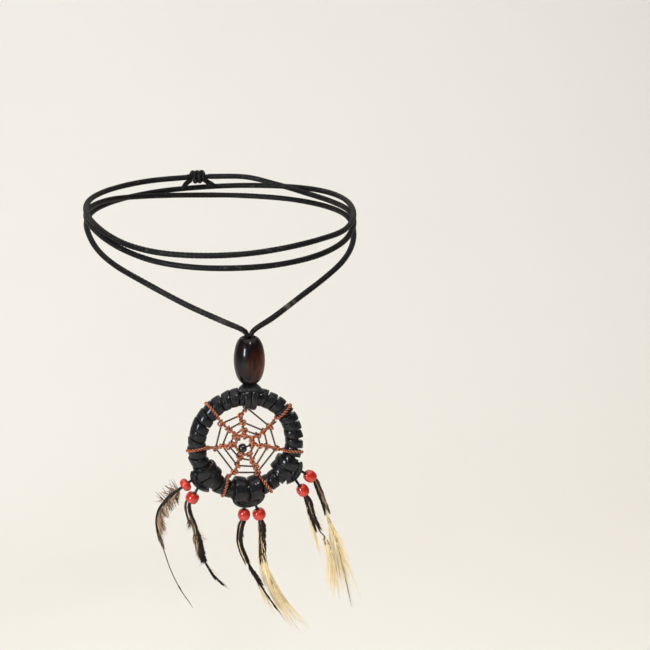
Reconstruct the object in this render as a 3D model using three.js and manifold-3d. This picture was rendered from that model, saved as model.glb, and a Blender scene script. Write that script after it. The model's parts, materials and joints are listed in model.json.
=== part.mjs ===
// A small dream catcher on a long black cord, in millimetres, +Z up.
// The origin is the centre of the wound cord loops, on the axis of the cylinder or neck that they go round.
// The pendant hangs in front of the loops, at -Y, with its hoop in an XZ plane.
import * as THREE from "three";
import { mergeVertices } from "three/addons/utils/BufferGeometryUtils.js";
import Module from "manifold-3d";

const wasm = await Module();
wasm.setup();

// Cord loops
const LOOP_RADIUS = 52; // centreline of the cord on a cylinder 101.6 mm across
const CORD_RADIUS = 1.05;
const CORD_SIDES = 8;
const CORD_STEPS = 46;
const TOUCH_GAP = 0.3;

// Hanging line of the pendant
const PENDANT_Y = -57;
const APEX_Z = -28.2; // where the two legs of the cord meet above the bead
const STRAND_OFFSET = 1.25; // half the distance between the two strands side by side
// The first points of each leg of the cord: sideways, back and up from where the legs meet.
const LEG_START = [[STRAND_OFFSET, 0, 0.2], [2.3, 0.1, 1.5], [10, 3.3, 4.9]];
const KNOT = { y: LOOP_RADIUS + 0.6, height: 9.3, radius: 2.9, length: 7, roundness: 0.7 };

// Wooden bead
const BEAD_TOP_Z = -29.3;
const BEAD_LENGTH = 17.3;
const BEAD_RADIUS = 5.8;
const BEAD_END_RADIUS = 2.85;
const BEAD_BORE = 2.6;
const BEAD_TAPER = 0.6; // how fast the bead narrows to its ends
const BEAD_BOTTOM_Z = BEAD_TOP_Z - BEAD_LENGTH;
const DROP_TOP_Z = APEX_Z - 2; // the doubled cord starts a little way down the bore
const DROP_BOTTOM_Z = BEAD_BOTTOM_Z + 2.4; // and meets the tails of the hitch inside it

// Hoop
const HOOP_RADIUS = 18.3; // centreline
const CORE_RADIUS = 1.85;
const LACE_THICKNESS = 1.3;
const WRAP_RADIUS = 3.5; // outside of the leather wrap
const WRAP_TURNS = 34;
const WRAP_STEPS = 10; // steps in each turn
const WRAP_FILL = 0.86; // share of the pitch that the lace covers
const HITCH_ANGLE = 84.4; // hoop angles count from +X towards +Z
const HITCH_DROP = 5.45; // from the bead's bottom to the middle of the tube at the hitch
const HOOP_CENTRE = new THREE.Vector3(
  -HOOP_RADIUS * Math.cos(radians(HITCH_ANGLE)),
  PENDANT_Y,
  BEAD_BOTTOM_Z - HITCH_DROP - HOOP_RADIUS * Math.sin(radians(HITCH_ANGLE)),
);

// Lark's heads of lace. tilt is how far the bight lies from straight outward towards the front.
const TIE_INNER = WRAP_RADIUS + 0.35;
const TIE_OUTER = TIE_INNER + 1.25;
const TIE_SIDES = 14;
const LEG_OVERLAP = 0.3; // the two legs press into each other
const BIGHT = { inner: TIE_OUTER - 0.3, outer: TIE_OUTER + 0.7, half: 19 };
const HITCH = { angle: HITCH_ANGLE, tilt: 54, lace: 2.9, bight: 7.2 };
const HITCH_TAILS = { width: 3, depth: 2.5, clear: 0.9 };
const TIES = {
  left: { angle: 216.6, tilt: 40, lace: 3.3, bight: 9 },
  middle: { angle: -89, tilt: 40, lace: 4.3, bight: 10 },
  right: { angle: -34.8, tilt: 40, lace: 3.3, bight: 8 },
};

// Web
const THREAD_RADIUS = 0.38;
const THREAD_SIDES = 5;
const KNOT_RADIUS = 0.72;
const ANCHOR_RADIUS = WRAP_RADIUS + TOUCH_GAP + THREAD_RADIUS;
// One row for each spoke: the angle of its anchor on the hoop, and its knots from the outside in.
const SPOKES = [
  { anchor: 98.5, angle: 99, knots: [10.8, 8.2, 5.3, 3.2] },
  { anchor: 38, angle: 32, knots: [10.9, 8.2, 5.4, 2.8] },
  { anchor: -14, angle: -13, knots: [12, 8.6, 5.7, 3] },
  { anchor: -66, angle: -70, knots: [12.7, 10.2, 7.4, 4.8] },
  { anchor: -116, angle: -112, knots: [12.1, 9.2, 6.3, 4.8] },
  { anchor: -177, angle: -176, knots: [11.4, 8.8, 6.4, 4.3] },
  { anchor: 133, angle: 138, knots: [12.2, 8.6, 5.4, 3.6] },
];
const WEB_BEAD = { radius: 1.55, length: 2, bore: 0.7, along: 0.68 };

// Red beads, thongs and feathers
const RED_BEAD = { radius: 2.6, length: 4, bore: 0.95 };
const BARREL = [[-1, 0.72], [-0.62, 0.94], [0, 1], [0.62, 0.94], [1, 0.72]]; // [along, radius] shares
const THONG_RADIUS = 0.6;
// The vane starts after the bare share of a feather, and bulge moves its widest place towards the root.
const FEATHER = { steps: 20, quill: 0.35, thickness: 0.45, bare: 0.14, bulge: 0.7 };
const THONG_INTO_BEAD = 0.1; // past the bead's middle
const QUILL_FROM_BEAD = 0.5;
// One row for each hanging strand, in millimetres from the hoop's centre as [x, z]. The thong turns at
// its root, and side is the feather's place in front of (-) or behind (+) the hoop's plane.
const STRANDS = {
  left_outer: {
    root: [-20.7, -13.1],
    bead: [-22.9, -14.6],
    feather: [[-28.5, -18.8], [-32.6, -24.5], [-33, -31], [-31, -40], [-27.1, -51.8], [-20.9, -64.3]],
    width: 2.6,
    side: -0.5,
  },
  left_inner: {
    root: [-18.3, -16.2],
    bead: [-20.4, -19.9],
    feather: [[-21.6, -24], [-19.5, -31], [-17.6, -39], [-15.4, -46.5], [-11.8, -53], [-6.7, -58.2]],
    width: 1.7,
    side: 0.5,
  },
  middle_left: {
    root: [-0.7, -24.5],
    bead: [-0.9, -28.3],
    feather: [[-2, -33], [-2.4, -39], [0, -46.5], [3.6, -54], [9.8, -64.2], [15.6, -72.9]],
    width: 2,
    side: -0.9,
  },
  middle_right: {
    root: [3.4, -24.3],
    bead: [4.9, -28.6],
    feather: [[6.1, -33], [6.9, -40], [7.6, -47], [9.6, -55], [15.2, -66], [21.6, -75]],
    width: 2.4,
    side: 0.9,
  },
  right_inner: {
    root: [18.8, -15.8],
    bead: [21.8, -20.5],
    feather: [[24.4, -25], [26.6, -32], [29.2, -39], [32.4, -48], [34.4, -57], [36, -66]],
    width: 2,
    side: -0.9,
  },
  right_outer: {
    root: [21, -12.6],
    bead: [24.6, -15.1],
    feather: [[28.4, -21.6], [31.9, -31], [34.8, -40], [37.4, -50], [40.6, -60], [43.4, -71]],
    width: 2.2,
    side: 0.9,
  },
};

const MATERIALS = {
  cord: new THREE.MeshStandardMaterial({ color: 0x1b1a1b, roughness: 0.55 }),
  wood: new THREE.MeshStandardMaterial({ color: 0x1d1110, roughness: 0.22 }),
  leather: new THREE.MeshStandardMaterial({ color: 0x25272a, roughness: 0.5 }),
  willow: new THREE.MeshStandardMaterial({ color: 0x6d4c33, roughness: 0.8 }),
  thread: new THREE.MeshStandardMaterial({ color: 0x7a3a24, roughness: 0.6 }),
  blackGlass: new THREE.MeshStandardMaterial({ color: 0x070708, roughness: 0.08 }),
  redGlass: new THREE.MeshStandardMaterial({ color: 0xc8301c, roughness: 0.15 }),
  feather: new THREE.MeshStandardMaterial({ color: 0x4a3f36, roughness: 0.85 }),
};

function radians(degrees) {
  return (degrees * Math.PI) / 180;
}

// A mesh geometry as a solid that can be joined to others.
function solidOf(geometry) {
  const bare = geometry.index ? geometry.toNonIndexed() : geometry.clone();
  bare.deleteAttribute("normal");
  bare.deleteAttribute("uv");
  const merged = mergeVertices(bare, 1e-3);
  return new wasm.Manifold(
    new wasm.Mesh({
      numProp: 3,
      vertProperties: merged.attributes.position.array,
      triVerts: new Uint32Array(merged.index.array),
    }),
  );
}

function geometryOf(solid) {
  const mesh = solid.getMesh();
  return new THREE.BufferGeometry()
    .setAttribute("position", new THREE.BufferAttribute(mesh.vertProperties, 3))
    .setIndex(new THREE.BufferAttribute(mesh.triVerts, 1));
}

function joined(geometries) {
  const solids = geometries.map(solidOf);
  return geometryOf(solids.reduce((whole, next) => whole.add(next)));
}

function namedMesh(name, geometry, material) {
  geometry.computeVertexNormals();
  const mesh = new THREE.Mesh(geometry, material);
  mesh.name = name;
  return mesh;
}

// A point on the hoop's plane, in the hoop's own frame.
function onHoop(angle, radius, y = 0) {
  return new THREE.Vector3(
    radius * Math.cos(radians(angle)),
    y,
    radius * Math.sin(radians(angle)),
  );
}

// A regular polygon as an extrusion's section.
function polygon(radius, sides) {
  const points = [];
  for (let i = 0; i < sides; i += 1) {
    const angle = ((i + 0.5) * 2 * Math.PI) / sides;
    points.push(new THREE.Vector2(radius * Math.cos(angle), radius * Math.sin(angle)));
  }
  return new THREE.Shape(points);
}

function tube(curve, radius, sides, steps) {
  return new THREE.ExtrudeGeometry(polygon(radius, sides), { steps, extrudePath: curve });
}

function straightTube(from, to, radius, sides) {
  return tube(new THREE.LineCurve3(from, to), radius, sides, 1);
}

// A ring with a square section, turned about the Z axis.
function ring(inner, outer, width, sides) {
  const profile = [
    new THREE.Vector2(inner, -width / 2),
    new THREE.Vector2(outer, -width / 2),
    new THREE.Vector2(outer, width / 2),
    new THREE.Vector2(inner, width / 2),
    new THREE.Vector2(inner, -width / 2),
  ];
  return new THREE.LatheGeometry(profile, sides).rotateX(Math.PI / 2);
}

// Puts a geometry on the hoop's tube: its X points outward from the hoop, its Y to the front, and its
// Z along the tube.
function alongHoop(geometry, angle) {
  const outward = onHoop(angle, 1);
  const front = new THREE.Vector3(0, -1, 0);
  const place = new THREE.Matrix4()
    .makeBasis(outward, front, outward.clone().cross(front))
    .setPosition(onHoop(angle, HOOP_RADIUS));
  return geometry.applyMatrix4(place);
}

// A closed skin through a list of equal rings of points, with flat ends.
function skin(rings) {
  const count = rings[0].length;
  const vertices = rings.flat().flatMap((point) => point.toArray());
  const faces = [];
  for (let i = 0; i < rings.length - 1; i += 1) {
    for (let j = 0; j < count; j += 1) {
      const a = i * count + j;
      const b = i * count + ((j + 1) % count);
      faces.push(a, b, b + count, a, b + count, a + count);
    }
  }
  const last = (rings.length - 1) * count;
  for (let j = 1; j < count - 1; j += 1) {
    faces.push(0, j + 1, j);
    faces.push(last, last + j, last + j + 1);
  }
  return new THREE.BufferGeometry()
    .setAttribute("position", new THREE.Float32BufferAttribute(vertices, 3))
    .setIndex(faces);
}

// The neck cord. Each row is a place on the loops: an angle round the cylinder from the front, the
// height, and how far the strand is lifted where it passes over another.
const LEFT_ROUTE = [
  [-24, -18.4, 0], [-42, -11.6, 0], [-61, -6.6, 0], [-75, -3, 0], [-90, 1.2, 0], [-108, 2.6, 0.3],
  [-126, 3, 1.7], [-144, 3.4, 2.6], [-162, 4, 2.6], [-180, 4.4, 2.6], [-198, 5, 2.6], [-216, 5.6, 2.6],
  [-234, 6.2, 2.5], [-252, 6.6, 1], [-270, 6.2, 0], [-288, 4.4, 0], [-306, 2.9, 0], [-325, 2.7, 0],
  [-343, 1.9, 0], [-360, 1, 0], [-378, 0.6, 0], [-396, 0.8, 0], [-411, 2, 0], [-424, 4, 0],
  [-437, 6.2, 0], [-452, 8, 0], [-472, 9, 0], [-494, 9.3, 0], [-516, 9.4, 0.4],
];
const RIGHT_ROUTE = [
  [24, -17.8, 0], [38, -12.8, 0], [52, -9.2, 0], [65, -6, 0], [77, -2.6, 0], [92, 0.2, 0],
  [112, 1, 0], [136, 1.2, 0], [160, 1.3, 0], [182, 1.8, 0], [206, 3.4, 0], [228, 5.2, 0],
  [250, 5.9, 0], [268, 5.5, 0], [283, 3.9, 0], [296, 1.7, 0], [308, -0.5, 0], [322, -2.6, 0],
  [338, -3.8, 0], [356, -4.2, 0], [374, -4.1, 0], [394, -3.2, 0], [414, -1.4, 0], [434, 1.4, 0],
  [452, 3.2, 0], [470, 3.7, 0], [488, 4.8, 0], [504, 7, 0], [518, 9.1, 0.4],
];

function loopPoint([angle, height, lift]) {
  const radius = LOOP_RADIUS + lift;
  return new THREE.Vector3(
    radius * Math.sin(radians(angle)),
    -radius * Math.cos(radians(angle)),
    height,
  );
}

// side is -1 for the half that leaves to the left, 1 for the other.
function neckCord(side, route) {
  const start = LEG_START.map(
    ([out, back, up]) => new THREE.Vector3(side * out, PENDANT_Y + back, APEX_Z + up),
  );
  const end = new THREE.Vector3(side * (KNOT.length / 2 + TOUCH_GAP), KNOT.y, KNOT.height);
  const curve = new THREE.CatmullRomCurve3([...start, ...route.map(loopPoint), end]);
  return tube(curve, CORD_RADIUS, CORD_SIDES, CORD_STEPS);
}

// The knot that closes the cord behind the loops, a stubby barrel along X.
function closingKnot() {
  const half = KNOT.length / 2;
  const profile = [new THREE.Vector2(0, -half)];
  for (const along of [-1, -0.6, 0, 0.6, 1]) {
    const radius = KNOT.radius * Math.sqrt(1 - KNOT.roundness * along * along);
    profile.push(new THREE.Vector2(radius, along * half));
  }
  profile.push(new THREE.Vector2(0, half));
  return new THREE.LatheGeometry(profile, 12)
    .rotateZ(Math.PI / 2)
    .translate(0, KNOT.y, KNOT.height);
}

function dropCord(side) {
  const x = side * STRAND_OFFSET;
  return straightTube(
    new THREE.Vector3(x, PENDANT_Y, DROP_TOP_Z),
    new THREE.Vector3(x, PENDANT_Y, DROP_BOTTOM_Z),
    CORD_RADIUS,
    CORD_SIDES,
  );
}

// An oval bead with a bore right through, turned about Z.
function woodBead() {
  const half = BEAD_LENGTH / 2;
  const profile = [new THREE.Vector2(BEAD_BORE, -half)];
  for (const along of [-1, -0.96, -0.86, -0.65, -0.35, 0, 0.35, 0.65, 0.86, 0.96, 1]) {
    const swell = (1 - along * along) ** BEAD_TAPER;
    const radius = BEAD_END_RADIUS + (BEAD_RADIUS - BEAD_END_RADIUS) * swell;
    profile.push(new THREE.Vector2(radius, along * half));
  }
  profile.push(new THREE.Vector2(BEAD_BORE, half), profile[0].clone());
  return new THREE.LatheGeometry(profile, 24)
    .rotateX(Math.PI / 2)
    .translate(0, PENDANT_Y, (BEAD_TOP_Z + BEAD_BOTTOM_Z) / 2);
}

// A lark's head of lace on the hoop: two legs round the tube and the bight across them.
function larksHead({ angle, tilt, lace, bight }) {
  const legTurn = ((lace - LEG_OVERLAP) / 2 / HOOP_RADIUS) * (180 / Math.PI);
  const legs = [-1, 1].map((side) =>
    alongHoop(ring(TIE_INNER, TIE_OUTER, lace, TIE_SIDES), angle + side * legTurn),
  );
  const half = radians(BIGHT.half);
  const section = new THREE.Shape();
  section.absarc(0, 0, BIGHT.outer, -half, half, false);
  section.absarc(0, 0, BIGHT.inner, half, -half, true);
  const bar = new THREE.ExtrudeGeometry(section, {
    depth: bight,
    curveSegments: 3,
    bevelEnabled: false,
  });
  bar.translate(0, 0, -bight / 2).rotateZ(radians(tilt));
  return [...legs, alongHoop(bar, angle)];
}

// The hitch over the hoop's top, with its two tails face to face going up into the bead.
function hoopHitch() {
  const bottom = BEAD_BOTTOM_Z - HITCH_TAILS.clear - HOOP_CENTRE.z;
  const top = DROP_BOTTOM_Z - TOUCH_GAP - HOOP_CENTRE.z;
  const tails = new THREE.BoxGeometry(HITCH_TAILS.width, HITCH_TAILS.depth, top - bottom);
  tails.translate(-HOOP_CENTRE.x, 0, (top + bottom) / 2);
  return joined([...larksHead(HITCH), tails]);
}

function hoopCore() {
  return new THREE.TorusGeometry(HOOP_RADIUS, CORE_RADIUS, 8, 40).rotateX(Math.PI / 2);
}

// One lace wound round the core from the hitch all the way round to the hitch again.
function leatherWrap() {
  const inner = WRAP_RADIUS - LACE_THICKNESS;
  const count = WRAP_TURNS * WRAP_STEPS;
  const rings = [];
  for (let i = 0; i <= count - WRAP_STEPS; i += 1) {
    const angle = HITCH_ANGLE - (360 * (i + WRAP_STEPS / 2)) / count;
    const turn = ((i % WRAP_STEPS) * 2 * Math.PI) / WRAP_STEPS;
    const corners = [[inner, -1], [inner, 1], [WRAP_RADIUS, 1], [WRAP_RADIUS, -1]];
    rings.push(
      corners.map(([radius, edge]) => {
        const halfTurn = (180 / WRAP_TURNS) * WRAP_FILL;
        const out = HOOP_RADIUS + radius * Math.cos(turn);
        return onHoop(angle + edge * halfTurn, out, radius * Math.sin(turn));
      }),
    );
  }
  return skin(rings);
}

// The web: a loop of thread round the hoop for each spoke, its knots, and rounds of thread between them.
function webThread() {
  const pieces = [];
  const rows = SPOKES.map(({ anchor, angle, knots }) => [
    onHoop(anchor, HOOP_RADIUS - ANCHOR_RADIUS),
    ...knots.map((radius) => onHoop(angle, radius)),
  ]);
  rows.forEach((row, i) => {
    const next = rows[(i + 1) % rows.length];
    pieces.push(
      alongHoop(new THREE.TorusGeometry(ANCHOR_RADIUS, THREAD_RADIUS, THREAD_SIDES, 12), SPOKES[i].anchor),
    );
    row.forEach((knot, k) => {
      pieces.push(new THREE.OctahedronGeometry(KNOT_RADIUS, 0).translate(knot.x, knot.y, knot.z));
      if (k > 0) {
        pieces.push(straightTube(row[k - 1], knot, THREAD_RADIUS, THREAD_SIDES));
        pieces.push(straightTube(knot, next[k], THREAD_RADIUS, THREAD_SIDES));
      }
    });
  });
  pieces.push(straightTube(...beadThread(), THREAD_RADIUS, THREAD_SIDES));
  return joined(pieces);
}

// The two ends of the straight thread that carries the web's bead.
function beadThread() {
  const innermost = ({ angle, knots }) => onHoop(angle, knots[knots.length - 1]);
  const right = innermost(SPOKES[2]);
  const left = innermost(SPOKES[4]).lerp(innermost(SPOKES[5]), 0.5);
  return [right, left];
}

// A barrel-shaped bead with a bore, turned about Z.
function barrelBead({ radius, length, bore }, sides) {
  const half = length / 2;
  const profile = [
    new THREE.Vector2(bore, -half),
    ...BARREL.map(([along, share]) => new THREE.Vector2(radius * share, half * along)),
    new THREE.Vector2(bore, half),
    new THREE.Vector2(bore, -half),
  ];
  return new THREE.LatheGeometry(profile, sides).rotateX(Math.PI / 2);
}

// Turns a geometry made along Z to point along a direction, and moves it to a place.
function aimed(geometry, direction, place) {
  const turn = new THREE.Quaternion().setFromUnitVectors(new THREE.Vector3(0, 0, 1), direction);
  return geometry.applyQuaternion(turn).translate(place.x, place.y, place.z);
}

function webBead() {
  const [right, left] = beadThread();
  const place = right.clone().lerp(left, WEB_BEAD.along);
  return aimed(barrelBead(WEB_BEAD, 12), left.sub(right).normalize(), place);
}

function inPlane([x, z]) {
  return new THREE.Vector3(x, 0, z);
}

// A feather as a thin blade with a lens section: a quill, a vane that swells, and a fine tip.
function featherBlade(start, out, { feather, width, side }) {
  const along = feather.map(([x, z], i) => {
    const share = Math.min(1, (i + 1) / 2);
    return new THREE.Vector3(x, side * share, z);
  });
  const mouth = start.clone().addScaledVector(out, RED_BEAD.length / 2);
  const curve = new THREE.CatmullRomCurve3([start, mouth, ...along]);
  const rings = [];
  for (let i = 0; i <= FEATHER.steps; i += 1) {
    const share = i / FEATHER.steps;
    const place = curve.getPointAt(share);
    const direction = curve.getTangentAt(share);
    const across = new THREE.Vector3(0, 1, 0).cross(direction).normalize();
    const vane = Math.max(0, (share - FEATHER.bare) / (1 - FEATHER.bare));
    const swell = Math.sin(Math.PI * vane ** FEATHER.bulge);
    const half = FEATHER.quill + (width - FEATHER.quill) * swell;
    rings.push([
      place.clone().addScaledVector(across, half),
      place.clone().add(new THREE.Vector3(0, FEATHER.thickness, 0)),
      place.clone().addScaledVector(across, -half),
      place.clone().add(new THREE.Vector3(0, -FEATHER.thickness, 0)),
    ]);
  }
  return skin(rings);
}

// One hanging strand: a thong from the lark's head, a red bead, and a feather whose quill is in the bead.
function strand(name, row) {
  const root = inPlane(row.root);
  const bead = inPlane(row.bead);
  const out = bead.clone().sub(root).normalize();
  const thongEnd = bead.clone().addScaledVector(out, THONG_INTO_BEAD);
  const thong = straightTube(root, thongEnd, THONG_RADIUS, CORD_SIDES);
  const start = bead.clone().addScaledVector(out, QUILL_FROM_BEAD);
  return [
    namedMesh(`thong_${name}`, thong, MATERIALS.leather),
    namedMesh(`red_bead_${name}`, aimed(barrelBead(RED_BEAD, 16), out, bead), MATERIALS.redGlass),
    namedMesh(`feather_${name}`, featherBlade(start, out, row), MATERIALS.feather),
  ];
}

const dreamCatcher = new THREE.Group();
dreamCatcher.add(
  namedMesh("neck_cord_left", neckCord(-1, LEFT_ROUTE), MATERIALS.cord),
  namedMesh("neck_cord_right", neckCord(1, RIGHT_ROUTE), MATERIALS.cord),
  namedMesh("closing_knot", closingKnot(), MATERIALS.cord),
  namedMesh("drop_cord_left", dropCord(-1), MATERIALS.cord),
  namedMesh("drop_cord_right", dropCord(1), MATERIALS.cord),
  namedMesh("wood_bead", woodBead(), MATERIALS.wood),
);

const hoop = new THREE.Group();
hoop.position.copy(HOOP_CENTRE);
hoop.add(
  namedMesh("hoop_hitch", hoopHitch(), MATERIALS.leather),
  namedMesh("hoop_core", hoopCore(), MATERIALS.willow),
  namedMesh("leather_wrap", leatherWrap(), MATERIALS.leather),
  namedMesh("web_thread", webThread(), MATERIALS.thread),
  namedMesh("web_bead", webBead(), MATERIALS.blackGlass),
);
for (const [name, tie] of Object.entries(TIES)) {
  hoop.add(namedMesh(`tie_${name}`, joined(larksHead(tie)), MATERIALS.leather));
}
for (const [name, row] of Object.entries(STRANDS)) {
  hoop.add(...strand(name, row));
}
dreamCatcher.add(hoop);

export default dreamCatcher;
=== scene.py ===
"""A small dream catcher on a wound black cord, in metres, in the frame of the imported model.

The origin is the centre of the cord loops, and the pendant hangs in front of them, at -Y. The CAD nodes stay
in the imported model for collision, and the pieces made here stand for them. Directions on the hoop are angles
in degrees from +X towards +Z.
"""

import json
import math
import random

import bpy
import numpy as np
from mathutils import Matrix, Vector, noise


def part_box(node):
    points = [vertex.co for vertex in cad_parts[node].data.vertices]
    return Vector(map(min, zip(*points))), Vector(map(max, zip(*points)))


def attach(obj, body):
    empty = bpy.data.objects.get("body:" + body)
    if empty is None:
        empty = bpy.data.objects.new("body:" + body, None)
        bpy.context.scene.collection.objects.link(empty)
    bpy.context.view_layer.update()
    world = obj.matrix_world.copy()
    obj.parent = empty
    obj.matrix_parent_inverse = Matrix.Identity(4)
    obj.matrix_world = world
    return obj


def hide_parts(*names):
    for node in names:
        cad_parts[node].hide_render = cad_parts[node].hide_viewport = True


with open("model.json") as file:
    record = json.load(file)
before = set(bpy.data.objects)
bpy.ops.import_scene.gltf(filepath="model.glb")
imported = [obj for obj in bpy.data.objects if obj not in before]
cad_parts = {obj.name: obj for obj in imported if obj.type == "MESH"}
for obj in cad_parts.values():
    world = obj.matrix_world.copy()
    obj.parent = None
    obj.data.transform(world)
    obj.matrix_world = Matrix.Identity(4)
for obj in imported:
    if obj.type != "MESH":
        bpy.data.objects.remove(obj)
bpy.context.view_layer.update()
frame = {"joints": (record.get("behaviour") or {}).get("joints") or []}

MM = 0.001

# Camera and stage
CAMERA_PLACE = (-0.13264, -0.75224, 0.17214)
CAMERA_YAW = 13.06
CAMERA_PITCH = 15.55
CAMERA_LENS = 110.8
FLOOR_Z = -0.30
BACKDROP_Y = 0.85
BACKDROP_BEND = 0.45
STAGE_HALF_WIDTH = 2.2
STAGE_FRONT_Y = -1.6
STAGE_HEIGHT = 1.9
WORLD_STRENGTH = 0.21

# Cord
CORD_RADIUS = 1.05 * MM
LOOP_RADIUS = 52 * MM
PENDANT_Y = -57 * MM
APEX_Z = -28.2 * MM
STRAND_OFFSET = 1.25 * MM
CORD_SPACING = 0.22 * MM
CORD_SIDES = 28
CORD_PULLED = 13 * MM  # how far from the bead the cord is pulled thinner
CORD_THINNEST = 0.78
CORD_PINCH = 0.3 * MM  # how much closer the halves lie above the bead than inside it
BRAID = {"strands": 8, "length": 1.75 * MM, "depth": 0.2}
KNOT_CENTRE = Vector((0, 52.6 * MM, 9.3 * MM))
KNOT_HALF = 3.5 * MM
KNOT_CORD_RADIUS = 1.0 * MM
KNOT_TURNS = 2.6
KNOT_STEPS = 14  # points in each turn of the coil
KNOT_COIL_RADIUS = 1.8 * MM
KNOT_COIL_HALF = KNOT_HALF - 1.1 * MM

# What the coil ends in, and the two strands that come out of it, in mm from the knot's centre.
KNOT_TAIL = [(3.3, 1.2, -1.9), (4.6, 1.3, -2.8), (6.3, 0.9, -3.9), (7.6, 1.2, -5.4)]
KNOT_STRANDS = [
    [(-4.8, 0.8, 0.1), (-2.8, 0.9, 0.0), (2.8, -0.7, 0.0), (4.8, -0.6, 0.1)],
    [(-2.0, 1.9, -1.2), (-3.6, 1.8, -2.2), (-5.2, 1.4, -3.6), (-6.0, 1.5, -5.4)],
]

# The first points of each leg of the cord, in metres: sideways, back and up from where the legs meet. The
# first one is inside the bead's bore.
LEG_START = [(0.00125, 0, -0.0014), (0.00125, 0, 0.0002), (0.0023, 0.0001, 0.0015), (0.010, 0.0033, 0.0049)]

# The loops. Each row is an angle round the loops' axis from the front, a height in metres, and how far the
# strand is lifted outward, in metres, where it passes over another.
LEFT_ROUTE = [
    (-24, -0.0184, 0), (-42, -0.0116, 0), (-61, -0.0066, 0), (-75, -0.003, 0), (-90, 0.0012, 0),
    (-108, 0.0026, 0.0003), (-126, 0.003, 0.0017), (-144, 0.0034, 0.0026), (-162, 0.004, 0.0026),
    (-180, 0.0044, 0.0026), (-198, 0.005, 0.0026), (-216, 0.0056, 0.0026), (-234, 0.0062, 0.0025),
    (-252, 0.0066, 0.001), (-270, 0.0062, 0), (-288, 0.0044, 0), (-306, 0.0029, 0), (-325, 0.0027, 0),
    (-343, 0.0019, 0), (-360, 0.001, 0), (-378, 0.0006, 0), (-396, 0.0008, 0), (-411, 0.002, 0),
    (-424, 0.004, 0), (-437, 0.0062, 0), (-452, 0.008, 0), (-472, 0.009, 0), (-494, 0.0093, 0),
    (-516, 0.0094, 0.0004),
]
RIGHT_ROUTE = [
    (24, -0.0178, 0), (38, -0.0128, 0), (52, -0.0092, 0), (65, -0.006, 0), (77, -0.0026, 0),
    (92, 0.0002, 0), (112, 0.001, 0), (136, 0.0012, 0), (160, 0.0013, 0), (182, 0.0018, 0),
    (206, 0.0034, 0), (228, 0.0052, 0), (250, 0.0059, 0), (268, 0.0055, 0), (283, 0.0039, 0),
    (296, 0.0017, 0), (308, -0.0005, 0), (322, -0.0026, 0), (338, -0.0038, 0), (356, -0.0042, 0),
    (374, -0.0041, 0), (394, -0.0032, 0), (414, -0.0014, 0), (434, 0.0014, 0), (452, 0.0032, 0),
    (470, 0.0037, 0), (488, 0.0048, 0), (504, 0.007, 0), (518, 0.0091, 0.0004),
]

# Worn spots on each half: distance along it, length and how bare it is worn.
LEFT_WORN = [(12 * MM, 2 * MM, 0.35)]
RIGHT_WORN = [(19.5 * MM, 1.1 * MM, 1.0), (22.8 * MM, 0.7 * MM, 0.7)]


def middle(node):
    """The middle of a CAD node's box."""
    low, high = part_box(node)
    return (low + high) / 2


# Bead
BEAD_RADIUS = 5.8 * MM
BEAD_END_RADIUS = 2.85 * MM
BEAD_BORE = 2.45 * MM
BEAD_TAPER = 0.6
MOUTH_EDGE = 0.25 * MM
DROP_TOP_Z = -29.0 * MM
DROP_BOTTOM_Z = -44.2 * MM

# Hoop
HOOP_CENTRE = middle("hoop_core")
HOOP_RADIUS = 18.3 * MM
CORE_RADIUS = 1.95 * MM
WRAP_TURNS = 34  # as many as fill the ring: the hitch takes the place of one
WRAP_STEPS = 44
WRAP_RADIUS = 2.75 * MM  # to the middle of the lace
WRAP_WIDTH = {"inner": 2.6 * MM, "outer": 3.22 * MM, "looser": 0.22 * MM}
WRAP_OUTWARD = 0.16 * MM  # how far the wrap sits outward of the ring it covers
LACE_THICKNESS = 1.3 * MM
LACE_CORNER = 0.2 * MM
LACE_CROWN = 0.1 * MM
LACE_CUT = 0.1 * MM  # how far the cut edges wander

# Lark's heads of lace. Turns go round the tube from straight outward, 0, to the front, 90. angle is the place
# on the ring and tilt the turn where the legs start, with gap between them on the inner side. The bight lies
# across the legs, bight long, in layers of lace from the outermost in, each with its own width. Its middle is
# at the turn lean, reach from the middle of the tube, and its ends are rise further round and dive deeper.
TIE_RADIUS = 4.3 * MM
TIE_THICKNESS = 1.25 * MM
LEG_TURNS = (-12, 318)  # how far round a leg goes, from its tie's tilt
BIGHT_LAYER = 1.15 * MM  # from one layer of lace to the next under it
TIES = {
    "hitch": {
        "angle": 84.8, "tilt": 31, "legs": (2.3, 2.5), "gap": 0.8,
        "bight": 7.0, "lean": 31, "rise": -14, "reach": 4.9, "dive": 1.6, "widths": (3.7,),
    },
    "left": {
        "angle": 216.6, "tilt": 20, "legs": (3.1, 3.1), "gap": 0.9,
        "bight": 7.6, "lean": 20, "rise": 14, "reach": 5.8, "dive": 1.5, "widths": (2.8, 2.8),
    },
    "middle": {
        "angle": -88.6, "tilt": 10, "legs": (4.4, 4.6), "gap": 2.4,
        "bight": 9.8, "lean": 0, "rise": 40, "reach": 6.6, "dive": 2.9, "widths": (1.6, 2.6, 3.7),
    },
    "right": {
        "angle": -34.8, "tilt": 20, "legs": (3.1, 3.1), "gap": 0.9,
        "bight": 7.2, "lean": 20, "rise": 12, "reach": 5.8, "dive": 1.5, "widths": (2.8, 2.8),
    },
}
TAIL_WIDTH = 3.3 * MM

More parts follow.
